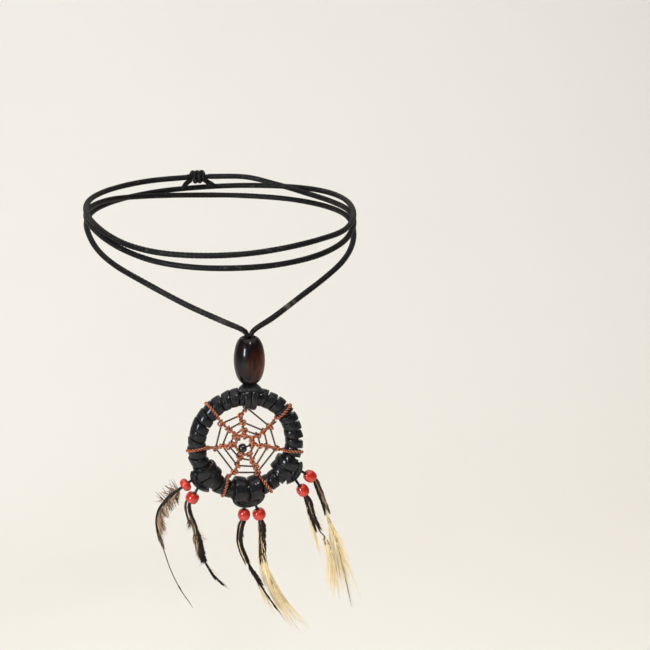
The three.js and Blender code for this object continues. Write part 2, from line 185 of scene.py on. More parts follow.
# Web: one row for each spoke, with the hoop angles of its anchor's outer and inner side, the angle of the
# spoke, and how far from the hoop's centre its knots lie, in metres from the outside in.
SPOKES = [
    {"outer": 90, "inner": 89, "angle": 99, "knots": (0.0112, 0.0085, 0.0055, 0.0032)},
    {"outer": 38.5, "inner": 38, "angle": 32, "knots": (0.0109, 0.0082, 0.0054, 0.0028)},
    {"outer": -13.4, "inner": -14.6, "angle": -13, "knots": (0.012, 0.0086, 0.0057, 0.003)},
    {"outer": -64.5, "inner": -68.5, "angle": -70, "knots": (0.0127, 0.0102, 0.0074, 0.0048)},
    {"outer": -114.5, "inner": -118, "angle": -112, "knots": (0.0121, 0.0092, 0.0063, 0.0048)},
    {"outer": -176.6, "inner": -178.2, "angle": -176, "knots": (0.0114, 0.0088, 0.0064, 0.0043)},
    {"outer": 131, "inner": 134.5, "angle": 138, "knots": (0.0122, 0.0086, 0.0054, 0.0036)},
]
ANCHOR_RADIUS = 3.7 * MM
ANCHOR_INNER = 14.1 * MM
ANCHOR_LEAN = 2.6
THREAD_SPACING = 0.16 * MM
# The spans' low tone is painted shade: they are the same waxed thread as the spokes, coloured near-black where
# the spokes are paler.
SPAN_THREAD = {"ply": 0.22 * MM, "offset": 0.19 * MM, "pitch": 1.5 * MM, "tone": 0.06}
SPOKE_THREAD = {"ply": 0.29 * MM, "offset": 0.33 * MM, "pitch": 2.3 * MM, "tone": 0.55}
KNOT_PLY = 0.33 * MM
PAINTED_GROOVE_SHADE = 0.8  # painted shade: how much paler a ply is coloured on its outside than in the groove beside the other
WEB_KNOT_RADIUS = 1.5 * MM
COIL_REACH = 3.3  # the size of the knots' looped curve, which a knot's radius is divided by
KNOT_FILLING = 0.42  # the radius of the ball inside a knot, as a share of the knot's; the ball is toned dark as painted shade

# Knots beside the anchors: which spoke, how far round and out from its inner end, and the knot's radius.
EDGE_KNOTS = [(5, 1, 0.4 * MM, 1.05 * MM), (4, 0, 0, 0.8 * MM), (0, 0, -1.3 * MM, 0.8 * MM)]
WEB_BEAD = {"radius": 1.75 * MM, "length": 2.9 * MM, "bore": 0.5 * MM, "along": 0.68}

# Strands. The line is the feather's, in mm from the hoop's centre as (x, z), and side is how far it lies
# behind the hoop's plane. The bead is its radius, its length and the power that rounds its profile.
RED_BORE = 0.95 * MM
THONG_RADIUS = 0.6 * MM
THONG_TUCK = 0.4 * MM  # how far a thong goes into its tie past the point that it swings from
QUILL_FROM_BEAD = 0.5 * MM
LINE_SPACING = 0.25 * MM
PAST_TIP = 20  # pairs of line spacings by which a feather's line goes straight on past its tip
STRANDS = {
    "left_outer": {
        "line": [(-28.5, -18.8), (-32.6, -24.5), (-33, -31), (-31, -40), (-27.1, -51.8), (-20.9, -64.3)],
        "side": -0.5,
        "bead": (2.55, 3.2, 2.1),
    },
    "left_inner": {
        "line": [(-21.6, -24), (-19.5, -31), (-17.6, -39), (-15.4, -46.5), (-11.8, -53), (-6.7, -58.2)],
        "side": 0.5,
        "bead": (2.55, 4.0, 2.4),
    },
    "middle_left": {
        "line": [(-2, -33), (-2.4, -39), (0, -46.5), (3.6, -54), (9.8, -64.2), (15.6, -72.9)],
        "side": -0.9,
        "bead": (2.4, 4.3, 2.0),
    },
    "middle_right": {
        "line": [(6.1, -33), (6.9, -40), (7.6, -47), (9.6, -55), (15.2, -66), (21.6, -75)],
        "side": 0.9,
        "bead": (2.55, 4.3, 2.1),
    },
    "right_inner": {
        "line": [(24.4, -25), (26.6, -32), (29.2, -39), (32.4, -48), (34.4, -57), (36, -66)],
        "side": -0.9,
        "bead": (2.4, 4.5, 2.0),
    },
    "right_outer": {
        "line": [(28.4, -21.6), (31.9, -31), (34.8, -40), (37.4, -50), (40.6, -60), (43.4, -71)],
        "side": 0.9,
        "bead": (2.4, 4.6, 2.0),
    },
}

# Feathers, in millimetres along the strand's line and to its left as it hangs. shaft holds (along, left,
# diameter) rows. Each tuft of barbs is its first and last root, how many barbs, how far they reach along the
# line, how far left of the shaft their roots and tips are, their tones from dark to pale, their width, and
# the power that bends them.
FEATHERS = {
    "left_outer": {
        "slot": "tan_feather",
        "tone": 0.08,
        "shaft": [
            (0, 0, 1.1), (3, 0.1, 1.2), (6, 0.6, 1.2), (11, 0.8, 1.0), (14, 0.8, 0.6), (26, 0.5, 0.4),
            (36, 0.6, 0.36), (44, 0.5, 0.34), (45.5, 0.5, 0.6), (47, 0.5, 0.34), (52, 0.2, 0.3),
            (55.8, 0, 0.08),
        ],
        "tufts": [
            # Pale barbs laid along the start of the shaft: a painted highlight line on the dark shaft.
            (1, 4, 8, (8, 11), (-0.1, 0.15), (-0.1, 0.1), (0.75, 0.95), 0.2, 1),
            (0, 10, 90, (5, 8), (-0.4, 0.6), (-0.4, 0.7), (0.0, 0.12), 0.3, 1),
            (2, 10, 38, (-1.8, 1.5), (0.2, 0.5), (1.6, 5.4), (0.1, 0.65), 0.24, 0.9),
            (2, 12, 150, (2, 5), (-0.6, 0), (-1.2, -4.8), (0.1, 0.85), 0.24, 1.1),
            (10, 16, 110, (5, 9), (-0.6, 0.3), (-0.6, -3.6), (0.25, 1.0), 0.22, 1.3),
            (14, 20, 60, (3, 6), (-0.5, 0.2), (-0.4, -1.6), (0.6, 0.95), 0.15, 1.2),
            (10, 19, 90, (5, 8), (0.1, 0.4), (0.1, 0.7), (0.0, 0.3), 0.18, 1),
            (20, 24, 90, (3, 5), (-0.4, 0.4), (-0.9, 0.5), (0.1, 0.55), 0.17, 1),
            (24, 26, 24, (2, 3), (-0.2, 0.2), (-0.8, 0.2), (0.0, 0.2), 0.17, 1.5),
        ],
    },
    "left_inner": {
        "slot": "dark_feather",
        "tone": 0.1,
        "shaft": [
            (0, 0, 1.1), (5, 0.3, 0.9), (12, 0.2, 0.8), (16, 0.3, 0.6), (24, 0.6, 0.5), (28, 0.2, 0.4),
            (31, 0.5, 0.45), (34, -0.1, 0.4), (38, 0.5, 0.3), (42, 0.1, 0.06),
        ],
        "tufts": [
            (0, 6, 90, (5, 8), (-0.5, 0.5), (-0.7, 0.6), (0.0, 0.14), 0.25, 1),
            (5, 12, 90, (4, 7), (-0.2, 0.5), (0.4, 1.3), (0.3, 0.8), 0.22, 1),
            (5, 12, 90, (4, 7), (-0.6, 0), (-0.5, -1.0), (0.0, 0.2), 0.2, 1),
            (11, 16, 18, (2.5, 4), (-0.5, 0), (-1.6, -3.4), (0.6, 0.9), 0.15, 1.4),
            (12, 19, 150, (4, 6.5), (0, 0.4), (0.7, 2.3), (0.05, 0.85), 0.22, 0.9),
            (12, 20, 150, (3, 5), (-0.3, 0.2), (-0.6, -1.5), (0.0, 0.1), 0.28, 0.8),
            (19, 24, 190, (3, 4.5), (-0.3, 0.4), (-1.1, 1.7), (0.0, 0.1), 0.32, 0.8),
            (14, 24, 16, (3, 6), (0.2, 0.6), (2.0, 3.0), (0.6, 0.9), 0.09, 1.2),
            (25, 36, 110, (3, 5.5), (-0.25, 0.25), (-0.5, 0.5), (0.0, 0.08), 0.2, 1),
            (27, 31, 8, (3, 5), (-0.2, 0), (-1.5, -2.4), (0.6, 0.9), 0.08, 1.2),
            (0, 2, 16, (7, 11), (0.9, 1.7), (1.5, 2.3), (0.0, 0.5), 0.2, 2),
            (6, 9, 16, (3, 4.5), (0.9, 1.9), (1.6, 3.8), (0.0, 0.6), 0.18, 1.6),
        ],
    },
    "middle_left": {
        "slot": "dark_feather",
        "tone": 0.06,
        "shaft": [
            (0, 0, 1.0), (4, 0.5, 0.5), (19, 0.5, 0.5), (21, 0.1, 0.5), (24, -0.2, 0.5), (30, 0.4, 0.5),
            (37, 0.5, 0.35), (41, 0.7, 0.22), (43, 0.4, 0.26), (49, 0.8, 0.05),
        ],
        "tufts": [
            (0, 13, 70, (5, 8), (0.6, 1.0), (0.6, 1.05), (0.0, 0.1), 0.24, 1),
            (1, 14, 60, (4, 6), (0.1, 0.45), (0.1, 0.5), (0.7, 1.0), 0.2, 1),
            (0, 14, 160, (5, 8), (-1.2, 0), (-1.2, -0.1), (0.0, 0.08), 0.3, 1),
            (6, 7.5, 14, (0.6, 1.6), (-1, -0.8), (-1.5, -1.9), (0.05, 0.4), 0.2, 1),
            (0, 3, 14, (1, 3), (0.6, 1), (1.2, 1.7), (0.1, 0.5), 0.14, 1),
            (15, 17.5, 26, (2, 3), (0.3, 0.9), (0.5, 1.2), (0.1, 0.6), 0.2, 1),
            (15, 18, 30, (4, 6), (-0.8, -0.3), (-0.3, -0.9), (0.0, 0.06), 0.24, 1),
            (20, 28, 170, (2.5, 4.5), (-0.2, 0.2), (-1.0, 1.1), (0.0, 0.12), 0.28, 0.8),
            (28, 38, 80, (3, 4.5), (-0.15, 0.15), (-0.4, 0.45), (0.0, 0.1), 0.2, 1),
            (22, 36, 40, (7, 12), (0.1, 0.5), (1.4, 3.4), (0.85, 1.0), 0.1, 1.4),
            (38, 42, 10, (2, 4), (-0.1, 0.1), (-0.5, 0.5), (0.0, 0.3), 0.14, 1),
        ],
    },
    "middle_right": {
        "slot": "pale_feather",
        "tone": 0.42,
        "shaft": [
            (0, 0.2, 0.9), (5, 0.6, 0.5), (14, 1.5, 0.5), (19, 1.6, 0.4), (24, 0.6, 0.22), (30, 0.4, 0.2),
            (40, 0.6, 0.15), (49.8, 0.4, 0.05),
        ],
        "tufts": [
            (0, 16, 240, (4, 5.5), (-0.6, 0.1), (-0.8, -1.7), (0.0, 0.14), 0.3, 0.9),
            (0, 16, 220, (4, 5.5), (-0.1, 0.6), (0.5, 1.5), (0.02, 0.4), 0.26, 0.9),
            (2, 13, 20, (5, 8), (-0.3, 0.6), (-0.3, 0.9), (0.6, 0.85), 0.12, 1),
            (3, 16, 34, (6, 9), (0.7, 1.1), (1.2, 1.9), (0.85, 1.0), 0.12, 1),
            (13, 20, 30, (7, 13), (0.8, 1.4), (0.9, 2.2), (0.9, 1.0), 0.14, 1),
            (9, 24, 84, (25, 31), (-1.5, -0.2), (-2.6, 3.4), (0.78, 1.0), 0.22, 1),
            (17, 24, 26, (10, 22), (-0.8, 0.6), (-0.6, 3.4), (0.75, 1.0), 0.16, 1),
            (19, 23, 16, (3, 5), (-0.9, -0.4), (-1.0, -0.4), (0.05, 0.4), 0.18, 1),
            (24.5, 28.5, 44, (2.5, 4), (-0.6, 0.3), (-0.8, 0.4), (0.0, 0.12), 0.26, 1),
            (30, 34, 10, (5, 8), (-0.3, 0.2), (-0.5, 0.3), (0.15, 0.4), 0.13, 1),
        ],
    },
    "right_inner": {
        "slot": "pale_feather",
        "tone": 0.35,
        "shaft": [
            (0, 0.4, 0.9), (5, 0.8, 0.6), (12, 0.8, 0.6), (18, 0.3, 0.5), (20, -0.6, 0.4), (24, -1.2, 0.35),
            (31, -0.8, 0.22), (36, -0.5, 0.08), (47.4, 0, 0.05),
        ],
        "tufts": [
            (0, 13.5, 210, (4, 5), (0, 0.6), (0.7, 1.6), (0.0, 0.16), 0.3, 0.9),
            (0, 13.5, 210, (4, 5), (-0.6, 0), (-0.6, -1.4), (0.0, 0.1), 0.3, 0.9),
            (0, 6, 16, (4, 6), (-0.7, 0.6), (-0.8, 0.6), (0.6, 0.85), 0.12, 1),
            (5, 12, 34, (12, 18), (0.8, 1.3), (1.6, 3.2), (0.88, 1.0), 0.14, 1),
            (19, 27, 60, (16, 22), (-0.4, 0.6), (0, 5.0), (0.8, 1.0), 0.2, 1),
            (20, 22, 14, (2, 3.5), (0.2, 1.0), (0.4, 1.4), (0.15, 0.5), 0.16, 1),
            (6, 16, 14, (3, 6), (-1.0, -0.6), (-2.0, -3.4), (0.7, 0.9), 0.07, 1),
            (19, 28, 30, (2, 4), (-0.1, 0.1), (-0.3, 0.3), (0.0, 0.2), 0.16, 1),
        ],
    },
    "right_outer": {
        "slot": "pale_feather",
        "tone": 0.5,
        "shaft": [
            (0, 0, 1.0), (5, 0, 0.6), (12, 0.2, 0.6), (18, 0.8, 0.5), (23, 0.3, 0.4), (31, 0.2, 0.35),
            (38, 0.4, 0.2), (46, 0.8, 0.1), (59, 1.4, 0.05),
        ],
        "tufts": [
            (0, 13.5, 190, (4, 5), (0, 0.5), (0.5, 1.3), (0.0, 0.06), 0.28, 0.9),
            (0, 13.5, 190, (4, 5), (-0.5, 0), (-0.5, -1.3), (0.05, 0.55), 0.26, 0.9),
            (8, 15, 60, (2.5, 4), (-0.7, -0.1), (-0.3, -1.1), (0.5, 0.85), 0.15, 1),
            (17, 31, 120, (2, 3.5), (-0.1, 0.1), (-0.8, 0.8), (0.2, 0.85), 0.18, 1),
            (26, 30, 30, (1.5, 3), (-0.2, 0.2), (-0.45, 0.45), (0.0, 0.2), 0.2, 1),
            (15, 33, 76, (18, 25), (-0.3, 0.4), (-4.4, 4.0), (0.8, 1.0), 0.2, 1),
            (22, 30, 14, (6, 11), (-0.4, 0), (-1.8, -3.2), (0.8, 0.95), 0.08, 1.2),
            (29, 32, 6, (24, 27), (0, 0.3), (1.6, 2.2), (0.25, 0.5), 0.14, 1),
        ],
    },
}


# ---------------------------------------------------------------------------------------------- geometry
def unit(vectors):
    return vectors / np.maximum(np.linalg.norm(vectors, axis=-1, keepdims=True), 1e-12)


def distances(line):
    """How far along a line each of its points lies."""
    steps = np.linalg.norm(np.diff(line, axis=0), axis=1)
    return np.concatenate([[0], np.cumsum(steps)])


def spaced(points, spacing):
    """The same line with evenly spaced points."""
    points = np.asarray(points, float)
    along = distances(points)
    count = max(2, int(round(along[-1] / spacing)) + 1)
    places = np.linspace(0, along[-1], count)
    return np.stack([np.interp(places, along, points[:, i]) for i in range(3)], axis=1)


def smooth_line(points, spacing):
    """Evenly spaced points on a centripetal Catmull-Rom curve through a list of points."""
    points = [np.asarray(p, float) for p in points]
    points = [2 * points[0] - points[1], *points, 2 * points[-1] - points[-2]]
    line = []
    for a, b, c, d in zip(points, points[1:], points[2:], points[3:]):
        gap_ab, gap_bc, gap_cd = (math.sqrt(np.linalg.norm(q - p)) for p, q in ((a, b), (b, c), (c, d)))
        slope_b = ((b - a) / gap_ab - (c - a) / (gap_ab + gap_bc) + (c - b) / gap_bc) * gap_bc
        slope_c = ((c - b) / gap_bc - (d - b) / (gap_bc + gap_cd) + (d - c) / gap_cd) * gap_bc
        t = np.linspace(0, 1, 24, endpoint=False)[:, None]
        line.append(
            (2 * t**3 - 3 * t**2 + 1) * b
            + (t**3 - 2 * t**2 + t) * slope_b
            + (-2 * t**3 + 3 * t**2) * c
            + (t**3 - t**2) * slope_c
        )
    line.append(points[-2][None])
    return spaced(np.concatenate(line), spacing)


def frames(points, start_normal=(0, 0, 1)):
    """A line's tangents, and normals and binormals that don't twist along it."""
    tangents = unit(np.gradient(points, axis=0))
    normals = np.empty_like(points)
    normal = np.asarray(start_normal, float)
    if abs(tangents[0] @ normal) > 0.95:
        normal = np.array((1.0, 0.0, 0.0))
    for i, tangent in enumerate(tangents):
        normal = normal - (normal @ tangent) * tangent
        normal /= np.linalg.norm(normal)
        normals[i] = normal
    return tangents, normals, np.cross(tangents, normals)


def smooth_noise(values, seed, size=1.0):
    """Smooth noise from about -1 to 1 along a list of numbers."""
    return np.array([noise.noise(Vector((v / size, seed * 7.31, seed * 1.7))) for v in values])


def enclosed_volume(rings, closed):
    """A measure of the volume inside rings of points, positive where their order makes the faces face out."""
    rings = rings - rings.mean((0, 1))
    here = rings if closed else rings[:-1]
    above = np.roll(rings, -1, axis=0) if closed else rings[1:]
    beside, above_beside = np.roll(here, -1, axis=1), np.roll(above, -1, axis=1)
    return (here * np.cross(beside, above_beside)).sum() + (here * np.cross(above_beside, above)).sum()


class Skin:
    """Closed skins collected into one mesh.

    Each vertex also carries its place on the straightened-out piece, which the materials read as fibres and
    grain that follow the piece, and a tone, which they read as wear and colour, and also as painted shade on
    the web and as a painted highlight on one feather.
    """

    def __init__(self):
        self.vertices, self.faces, self.straight, self.tones = [], [], [], []
        self.count = 0

    def add(self, rings, straight, tone=0.0, closed=False):
        """Joins equal rings of points into a skin that faces out, with caps unless it closes on itself."""
        if enclosed_volume(rings, closed) < 0:
            rings, straight = rings[:, ::-1], straight[:, ::-1]
            tone = np.broadcast_to(tone, rings.shape[:2])[:, ::-1]
        rows, columns = rings.shape[:2]
        points = rings.reshape(-1, 3)
        flat = straight.reshape(-1, 3)
        tones = np.broadcast_to(tone, (rows, columns)).reshape(-1)
        row_starts = np.arange(rows if closed else rows - 1)[:, None] * columns
        here = row_starts + np.arange(columns)
        beside = row_starts + (np.arange(columns) + 1) % columns
        above = (columns + here) % (rows * columns)
        above_beside = (columns + beside) % (rows * columns)
        quads = np.stack([here, beside, above_beside, above], axis=-1).reshape(-1, 4) + self.count
        self.faces.extend(quads.tolist())
        if not closed:
            first = np.arange(columns) + self.count
            last = first + (rows - 1) * columns
            for k, (edge, turn) in enumerate(((first, -1), (last, 1))):
                centre = self.count + rows * columns + k
                pairs = zip(edge, np.roll(edge, -1))
                self.faces.extend([int(a), int(b), centre][::turn] for a, b in pairs)
            ends = [rings[0].mean(0), rings[-1].mean(0)]
            points = np.concatenate([points, ends])
            flat = np.concatenate([flat, [straight[0].mean(0), straight[-1].mean(0)]])
            tones = np.concatenate([tones, [tones[0], tones[-1]]])
        self.vertices.append(points)
        self.straight.append(flat)
        self.tones.append(tones)
        self.count += len(points)

    def sweep(self, line, section, tone=0.0, normal=(0, 0, 1), closed=False, start=0.0):
        """Sweeps sections, given as (across, out) pairs for each point of a line, along that line."""
        _, normals, binormals = frames(line, normal)
        self.place(line, normals, binormals, section, tone, closed, start)

    def place(self, line, outs, acrosses, section, tone=0.0, closed=False, start=0.0):
        """Puts sections on a line whose outward and sideways directions are given."""
        section = np.broadcast_to(section, (len(line), *np.shape(section)[-2:]))
        across, out = section[..., :1], section[..., 1:]
        rings = line[:, None] + across * acrosses[:, None] + out * outs[:, None]
        along = start + distances(line)
        along = np.broadcast_to(along[:, None, None], (*section.shape[:2], 1))
        self.add(rings, np.concatenate([along, section], axis=-1), tone, closed)

    def build(self, name, material):
        """The mesh as an object with smooth faces and one material."""
        mesh = bpy.data.meshes.new(name)
        vertices = np.concatenate(self.vertices)
        mesh.from_pydata(vertices.tolist(), [], self.faces)
        straight = mesh.attributes.new("straight", "FLOAT_VECTOR", "POINT")
        straight.data.foreach_set("vector", np.concatenate(self.straight).astype(np.float32).ravel())
        tone = mesh.attributes.new("tone", "FLOAT", "POINT")
        tone.data.foreach_set("value", np.concatenate(self.tones).astype(np.float32))
        mesh.polygons.foreach_set("use_smooth", [True] * len(mesh.polygons))
        mesh.materials.append(material)
        mesh.validate()
        mesh.update()
        piece = bpy.data.objects.new(name, mesh)
        bpy.context.scene.collection.objects.link(piece)
        return piece


def circle(radius, sides):
    angles = np.arange(sides) * 2 * math.pi / sides
    return np.stack([radius * np.sin(angles), radius * np.cos(angles)], axis=-1)


def in_hoop(angle, radius, front=0.0):
    """A point from the hoop's centre, at an angle in its plane, and moved towards the front."""
    turn = math.radians(angle)
    return np.array(HOOP_CENTRE) + (radius * math.cos(turn), -front, radius * math.sin(turn))


def on_tube(angle, turn, radius):
    """Points at an angle on the hoop, and at a turn and distance round the middle of its tube."""
    angle, turn, radius = np.broadcast_arrays(np.radians(angle), np.radians(turn), radius)
    out = HOOP_RADIUS + radius * np.cos(turn)
    place = [out * np.cos(angle), -radius * np.sin(turn), out * np.sin(angle)]
    return np.array(HOOP_CENTRE) + np.stack(place, axis=-1)


def along_tube(distance):
    """The change in hoop angle for a distance along the tube, clockwise as seen from the front."""
    return -np.degrees(np.asarray(distance) / HOOP_RADIUS)


def turned(skin, centre, axis, profile, sides, tone=0.0):
    """A closed profile of (radius, along) pairs turned about an axis."""
    centre, axis = np.asarray(centre, float), unit(np.asarray(axis, float))
    _, (normal, *_), (binormal, *_) = frames(np.array([centre, centre + axis]), (0.3, -1, 0.2))
    around = np.arange(sides) * 2 * math.pi / sides
    radial = np.cos(around)[:, None] * normal + np.sin(around)[:, None] * binormal
    radius, along = (np.asarray(column)[:, None, None] for column in zip(*profile))
    rings = centre + radius * radial + along * axis
    outline = radius * np.stack([np.cos(around), np.sin(around)], axis=-1)
    flat = np.concatenate([np.broadcast_to(along, (*rings.shape[:2], 1)), outline], axis=-1)
    skin.add(rings, flat, tone, closed=True)


def bead_profile(radius, bore, half, power):
    """A bead's profile: a superellipse, round at power 2 and a barrel at 3, and a straight bore."""
    lift = np.linspace(-1, 1, 33)
    turns = lift * math.pi / 2
    up = np.sign(np.sin(turns)) * np.abs(np.sin(turns)) ** (2 / power)
    out = np.abs(np.cos(turns)) ** (2 / power)
    end = bore + 0.12 * (radius - bore)
    outside = [(end + (radius - end) * o, u * half) for o, u in zip(out, up)]
    inside = [(bore, height * half * 0.97) for height in np.linspace(1, -1, 9)]
    return outside + inside


def mounted(skin, name, material, body, slot, *nodes):
    """Builds a piece, lets it ride on a body, and hides the CAD nodes that it stands for."""
    piece = skin.build(name, material)
    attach(piece, body)
    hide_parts(*nodes)
    return piece


# --------------------------------------------------------------------------------------------- materials
class Nodes:
    """A new material's node tree, with short ways to add what these materials need."""

    def __init__(self, name, **sockets):
        self.material = bpy.data.materials.new(name)
        self.material.use_nodes = True
        self.tree = self.material.node_tree
        self.shader = self.tree.nodes["Principled BSDF"]
        for socket, value in sockets.items():
            self.shader.inputs[socket.replace("_", " ")].default_value = value

    def add(self, kind, **values):
        node = self.tree.nodes.new(kind)
        for key, value in values.items():
            if key in node.inputs:
                self.feed(node.inputs[key], value)
            elif key.replace("_", " ") in node.inputs:
                self.feed(node.inputs[key.replace("_", " ")], value)
            else:
                setattr(node, key, value)
        return node

    def feed(self, socket, value):
        if isinstance(value, bpy.types.NodeSocket):
            self.tree.links.new(value, socket)
        else:
            socket.default_value = value

    def straight(self, scale):
        """The straightened-out coordinates, scaled along, across and out."""
        source = self.add("ShaderNodeAttribute", attribute_name="straight").outputs["Vector"]
        return self.scaled(source, scale)

    def place(self, scale=(1, 1, 1)):
        source = self.add("ShaderNodeTexCoord").outputs["Object"]
        return self.scaled(source, scale)

    def scaled(self, source, scale):
        node = self.add("ShaderNodeVectorMath", operation="MULTIPLY")
        self.feed(node.inputs[0], source)
        self.feed(node.inputs[1], scale)
        return node.outputs[0]

    def tone(self):
        return self.add("ShaderNodeAttribute", attribute_name="tone").outputs["Fac"]

    def noise(self, vector, scale=1.0, detail=3.0, roughness=0.55):
        node = self.add("ShaderNodeTexNoise", Vector=vector, Scale=scale, Detail=detail, Roughness=roughness)
        return node.outputs["Fac"]

    def cells(self, vector, scale=1.0):
        node = self.add("ShaderNodeTexVoronoi", feature="F1", Vector=vector, Scale=scale)
        return node.outputs["Distance"]

    def maths(self, operation, a, b=0.0):
        node = self.add("ShaderNodeMath", operation=operation)
        self.feed(node.inputs[0], a)
        self.feed(node.inputs[1], b)
        return node.outputs[0]

    def between(self, value, low, high, start=0.0, end=1.0):
        """value from start to end turned into low to high, held at both ends."""
        node = self.add("ShaderNodeMapRange", clamp=True, Value=value)
        for key, number in (("From Min", start), ("From Max", end), ("To Min", low), ("To Max", high)):
            node.inputs[key].default_value = number
        return node.outputs[0]

    def ramp(self, value, *stops):
        """A colour for each place on a scale from 0 to 1."""
        node = self.add("ShaderNodeValToRGB", Fac=value)
        elements = node.color_ramp.elements
        while len(elements) < len(stops):
            elements.new(0.5)
        for element, (place, colour) in zip(elements, stops):
            element.position = place
            element.color = (*colour, 1)
        return node.outputs["Color"]

    def mix(self, share, a, b):
        node = self.add("ShaderNodeMix", data_type="RGBA")
        self.feed(node.inputs["Factor"], share)
        for socket, value in ((node.inputs[6], a), (node.inputs[7], b)):
            self.feed(socket, value if isinstance(value, bpy.types.NodeSocket) else (*value, 1))
        return node.outputs[2]

    def bump(self, height, distance, strength=1.0):
        node = self.add("ShaderNodeBump", Height=height, Strength=strength)
        node.inputs["Distance"].default_value = distance
        return node.outputs["Normal"]

    def finish(self, colour, roughness=None, normal=None, coat_normal=None):
        self.feed(self.shader.inputs["Base Color"], colour)
        if roughness is not None:
            self.feed(self.shader.inputs["Roughness"], roughness)
        if normal is not None:
            self.feed(self.shader.inputs["Normal"], normal)
            self.feed(self.shader.inputs["Coat Normal"], coat_normal or normal)
        return self.material


def cord_material():
    """Waxed black cotton: fibres in the braid, a dull shine, and grey where the wax has cracked."""
    n = Nodes("waxed_cord", Specular_IOR_Level=0.05, Coat_Weight=0.14, Coat_Roughness=0.14)
    fibres = n.noise(n.straight((900, 9000, 9000)), detail=4)
    patches = n.noise(n.straight((160, 500, 500)), detail=3)
    specks = n.between(n.noise(n.straight((1300, 1300, 1300)), detail=2), 0, 1, 0.56, 0.7)
    cracks = n.maths("MULTIPLY", n.between(patches, 0.25, 1, 0.4, 0.65), specks)
    wear = n.maths("MAXIMUM", n.tone(), n.maths("MULTIPLY", cracks, 0.6))
    black = n.ramp(fibres, (0.3, (0.002, 0.002, 0.0024)), (0.75, (0.010, 0.0095, 0.0095)))
    worn = n.mix(fibres, (0.09, 0.075, 0.06), (0.25, 0.21, 0.17))
    colour = n.mix(n.maths("MULTIPLY", wear, fibres), black, worn)
    return n.finish(colour, n.between(patches, 0.36, 0.62), n.bump(fibres, 0.1 * MM, 0.9))


def wood_material(centre):
    """Dark polished wood with fine grain, and a painted reddish glow in streaks on its front right side."""
    n = Nodes("polished_dark_wood", Specular_IOR_Level=0.08, Coat_Weight=0.32, Coat_Roughness=0.11)
    grain = n.noise(n.place((900, 900, 130)), detail=6)
    streaks = n.noise(n.place((420, 420, 45)), detail=2)
    # Painted glow: the colour turns red within 2 to 9 mm of a point at the bead's front right, a little low,
    # broken into streaks.
    painted_glow_distance = n.add("ShaderNodeVectorMath", operation="DISTANCE")
    n.feed(painted_glow_distance.inputs[0], n.place())
    n.feed(painted_glow_distance.inputs[1], tuple(centre + Vector((5.5, -3.0, -1.5)) * MM))
    glow = n.between(painted_glow_distance.outputs["Value"], 1, 0, 2.0 * MM, 9.0 * MM)
    dark = n.ramp(grain, (0.35, (0.002, 0.001, 0.0012)), (0.7, (0.010, 0.0035, 0.003)))
    # The colour of the painted reddish glow.
    red = n.ramp(grain, (0.35, (0.03, 0.006, 0.0025)), (0.7, (0.18, 0.032, 0.008)))
    colour = n.mix(n.maths("MULTIPLY", glow, n.between(streaks, 0.35, 1, 0.35, 0.65)), dark, red)
    return n.finish(colour, n.between(grain, 0.22, 0.38), n.bump(grain, 0.012 * MM, 0.2))


def leather_material():
    """Black lace: a grain side with pores and creases, and brown flesh showing at its cut edges."""
    n = Nodes("black_lace", Specular_IOR_Level=0.05, Coat_Weight=0.42, Coat_Roughness=0.12)
    pores = n.cells(n.straight((2400, 2400, 2400)))
    creases = n.noise(n.straight((900, 1500, 1500)), detail=6, roughness=0.7)
    patches = n.noise(n.straight((260, 420, 420)), detail=6, roughness=0.72)
    shade = n.maths("ADD", n.maths("MULTIPLY", patches, 0.5), n.maths("MULTIPLY", creases, 0.5))
    dye = n.ramp(
        shade,
        (0.36, (0.0008, 0.0009, 0.0013)),
        (0.5, (0.005, 0.0057, 0.0075)),
        (0.58, (0.017, 0.0158, 0.0152)),
        (0.68, (0.07, 0.058, 0.048)),
    )
    flesh = n.ramp(creases, (0.3, (0.008, 0.005, 0.004)), (0.7, (0.07, 0.042, 0.027)))
    rubbed = n.between(n.maths("ADD", n.tone(), n.maths("MULTIPLY", creases, 0.6)), 0, 1, 0.9, 1.3)
    colour = n.mix(rubbed, dye, flesh)
    height = n.maths("ADD", creases, n.maths("MULTIPLY", pores, 0.4))
    roughness = n.between(patches, 0.3, 0.6, 0.3, 0.7)
    return n.finish(colour, roughness, n.bump(height, 0.16 * MM, 1.0), n.bump(creases, 0.05 * MM, 1.0))


def willow_material():
    """Peeled willow with its grain along the ring, coloured dark as painted shade where it shows in the gaps
    between the wraps.
    """
    n = Nodes("willow", Roughness=0.75)
    grain = n.noise(n.straight((120, 2200, 2200)), detail=5)
    # Dark browns: painted shade of the gaps between the wraps, where the willow shows.
    colour = n.ramp(grain, (0.3, (0.012, 0.006, 0.003)), (0.7, (0.05, 0.027, 0.014)))
    return n.finish(colour, n.between(grain, 0.6, 0.85), n.bump(grain, 0.05 * MM, 0.6))


def thread_material():
    """Waxed red-brown thread, dark or bright by its tone, which also holds the painted shade of the grooves,
    the knots and the dark spans.
    """
    n = Nodes("waxed_thread", Specular_IOR_Level=0.2, Coat_Weight=0.5, Coat_Roughness=0.12)
    fibres = n.noise(n.straight((1500, 9000, 9000)), detail=4)
    bright = n.ramp(fibres, (0.3, (0.19, 0.03, 0.010)), (0.7, (0.80, 0.27, 0.12)))
    dark = n.ramp(fibres, (0.3, (0.010, 0.003, 0.002)), (0.75, (0.045, 0.012, 0.007)))
    colour = n.mix(n.tone(), dark, bright)
    return n.finish(colour, n.between(fibres, 0.35, 0.6), n.bump(fibres, 0.04 * MM, 0.7))


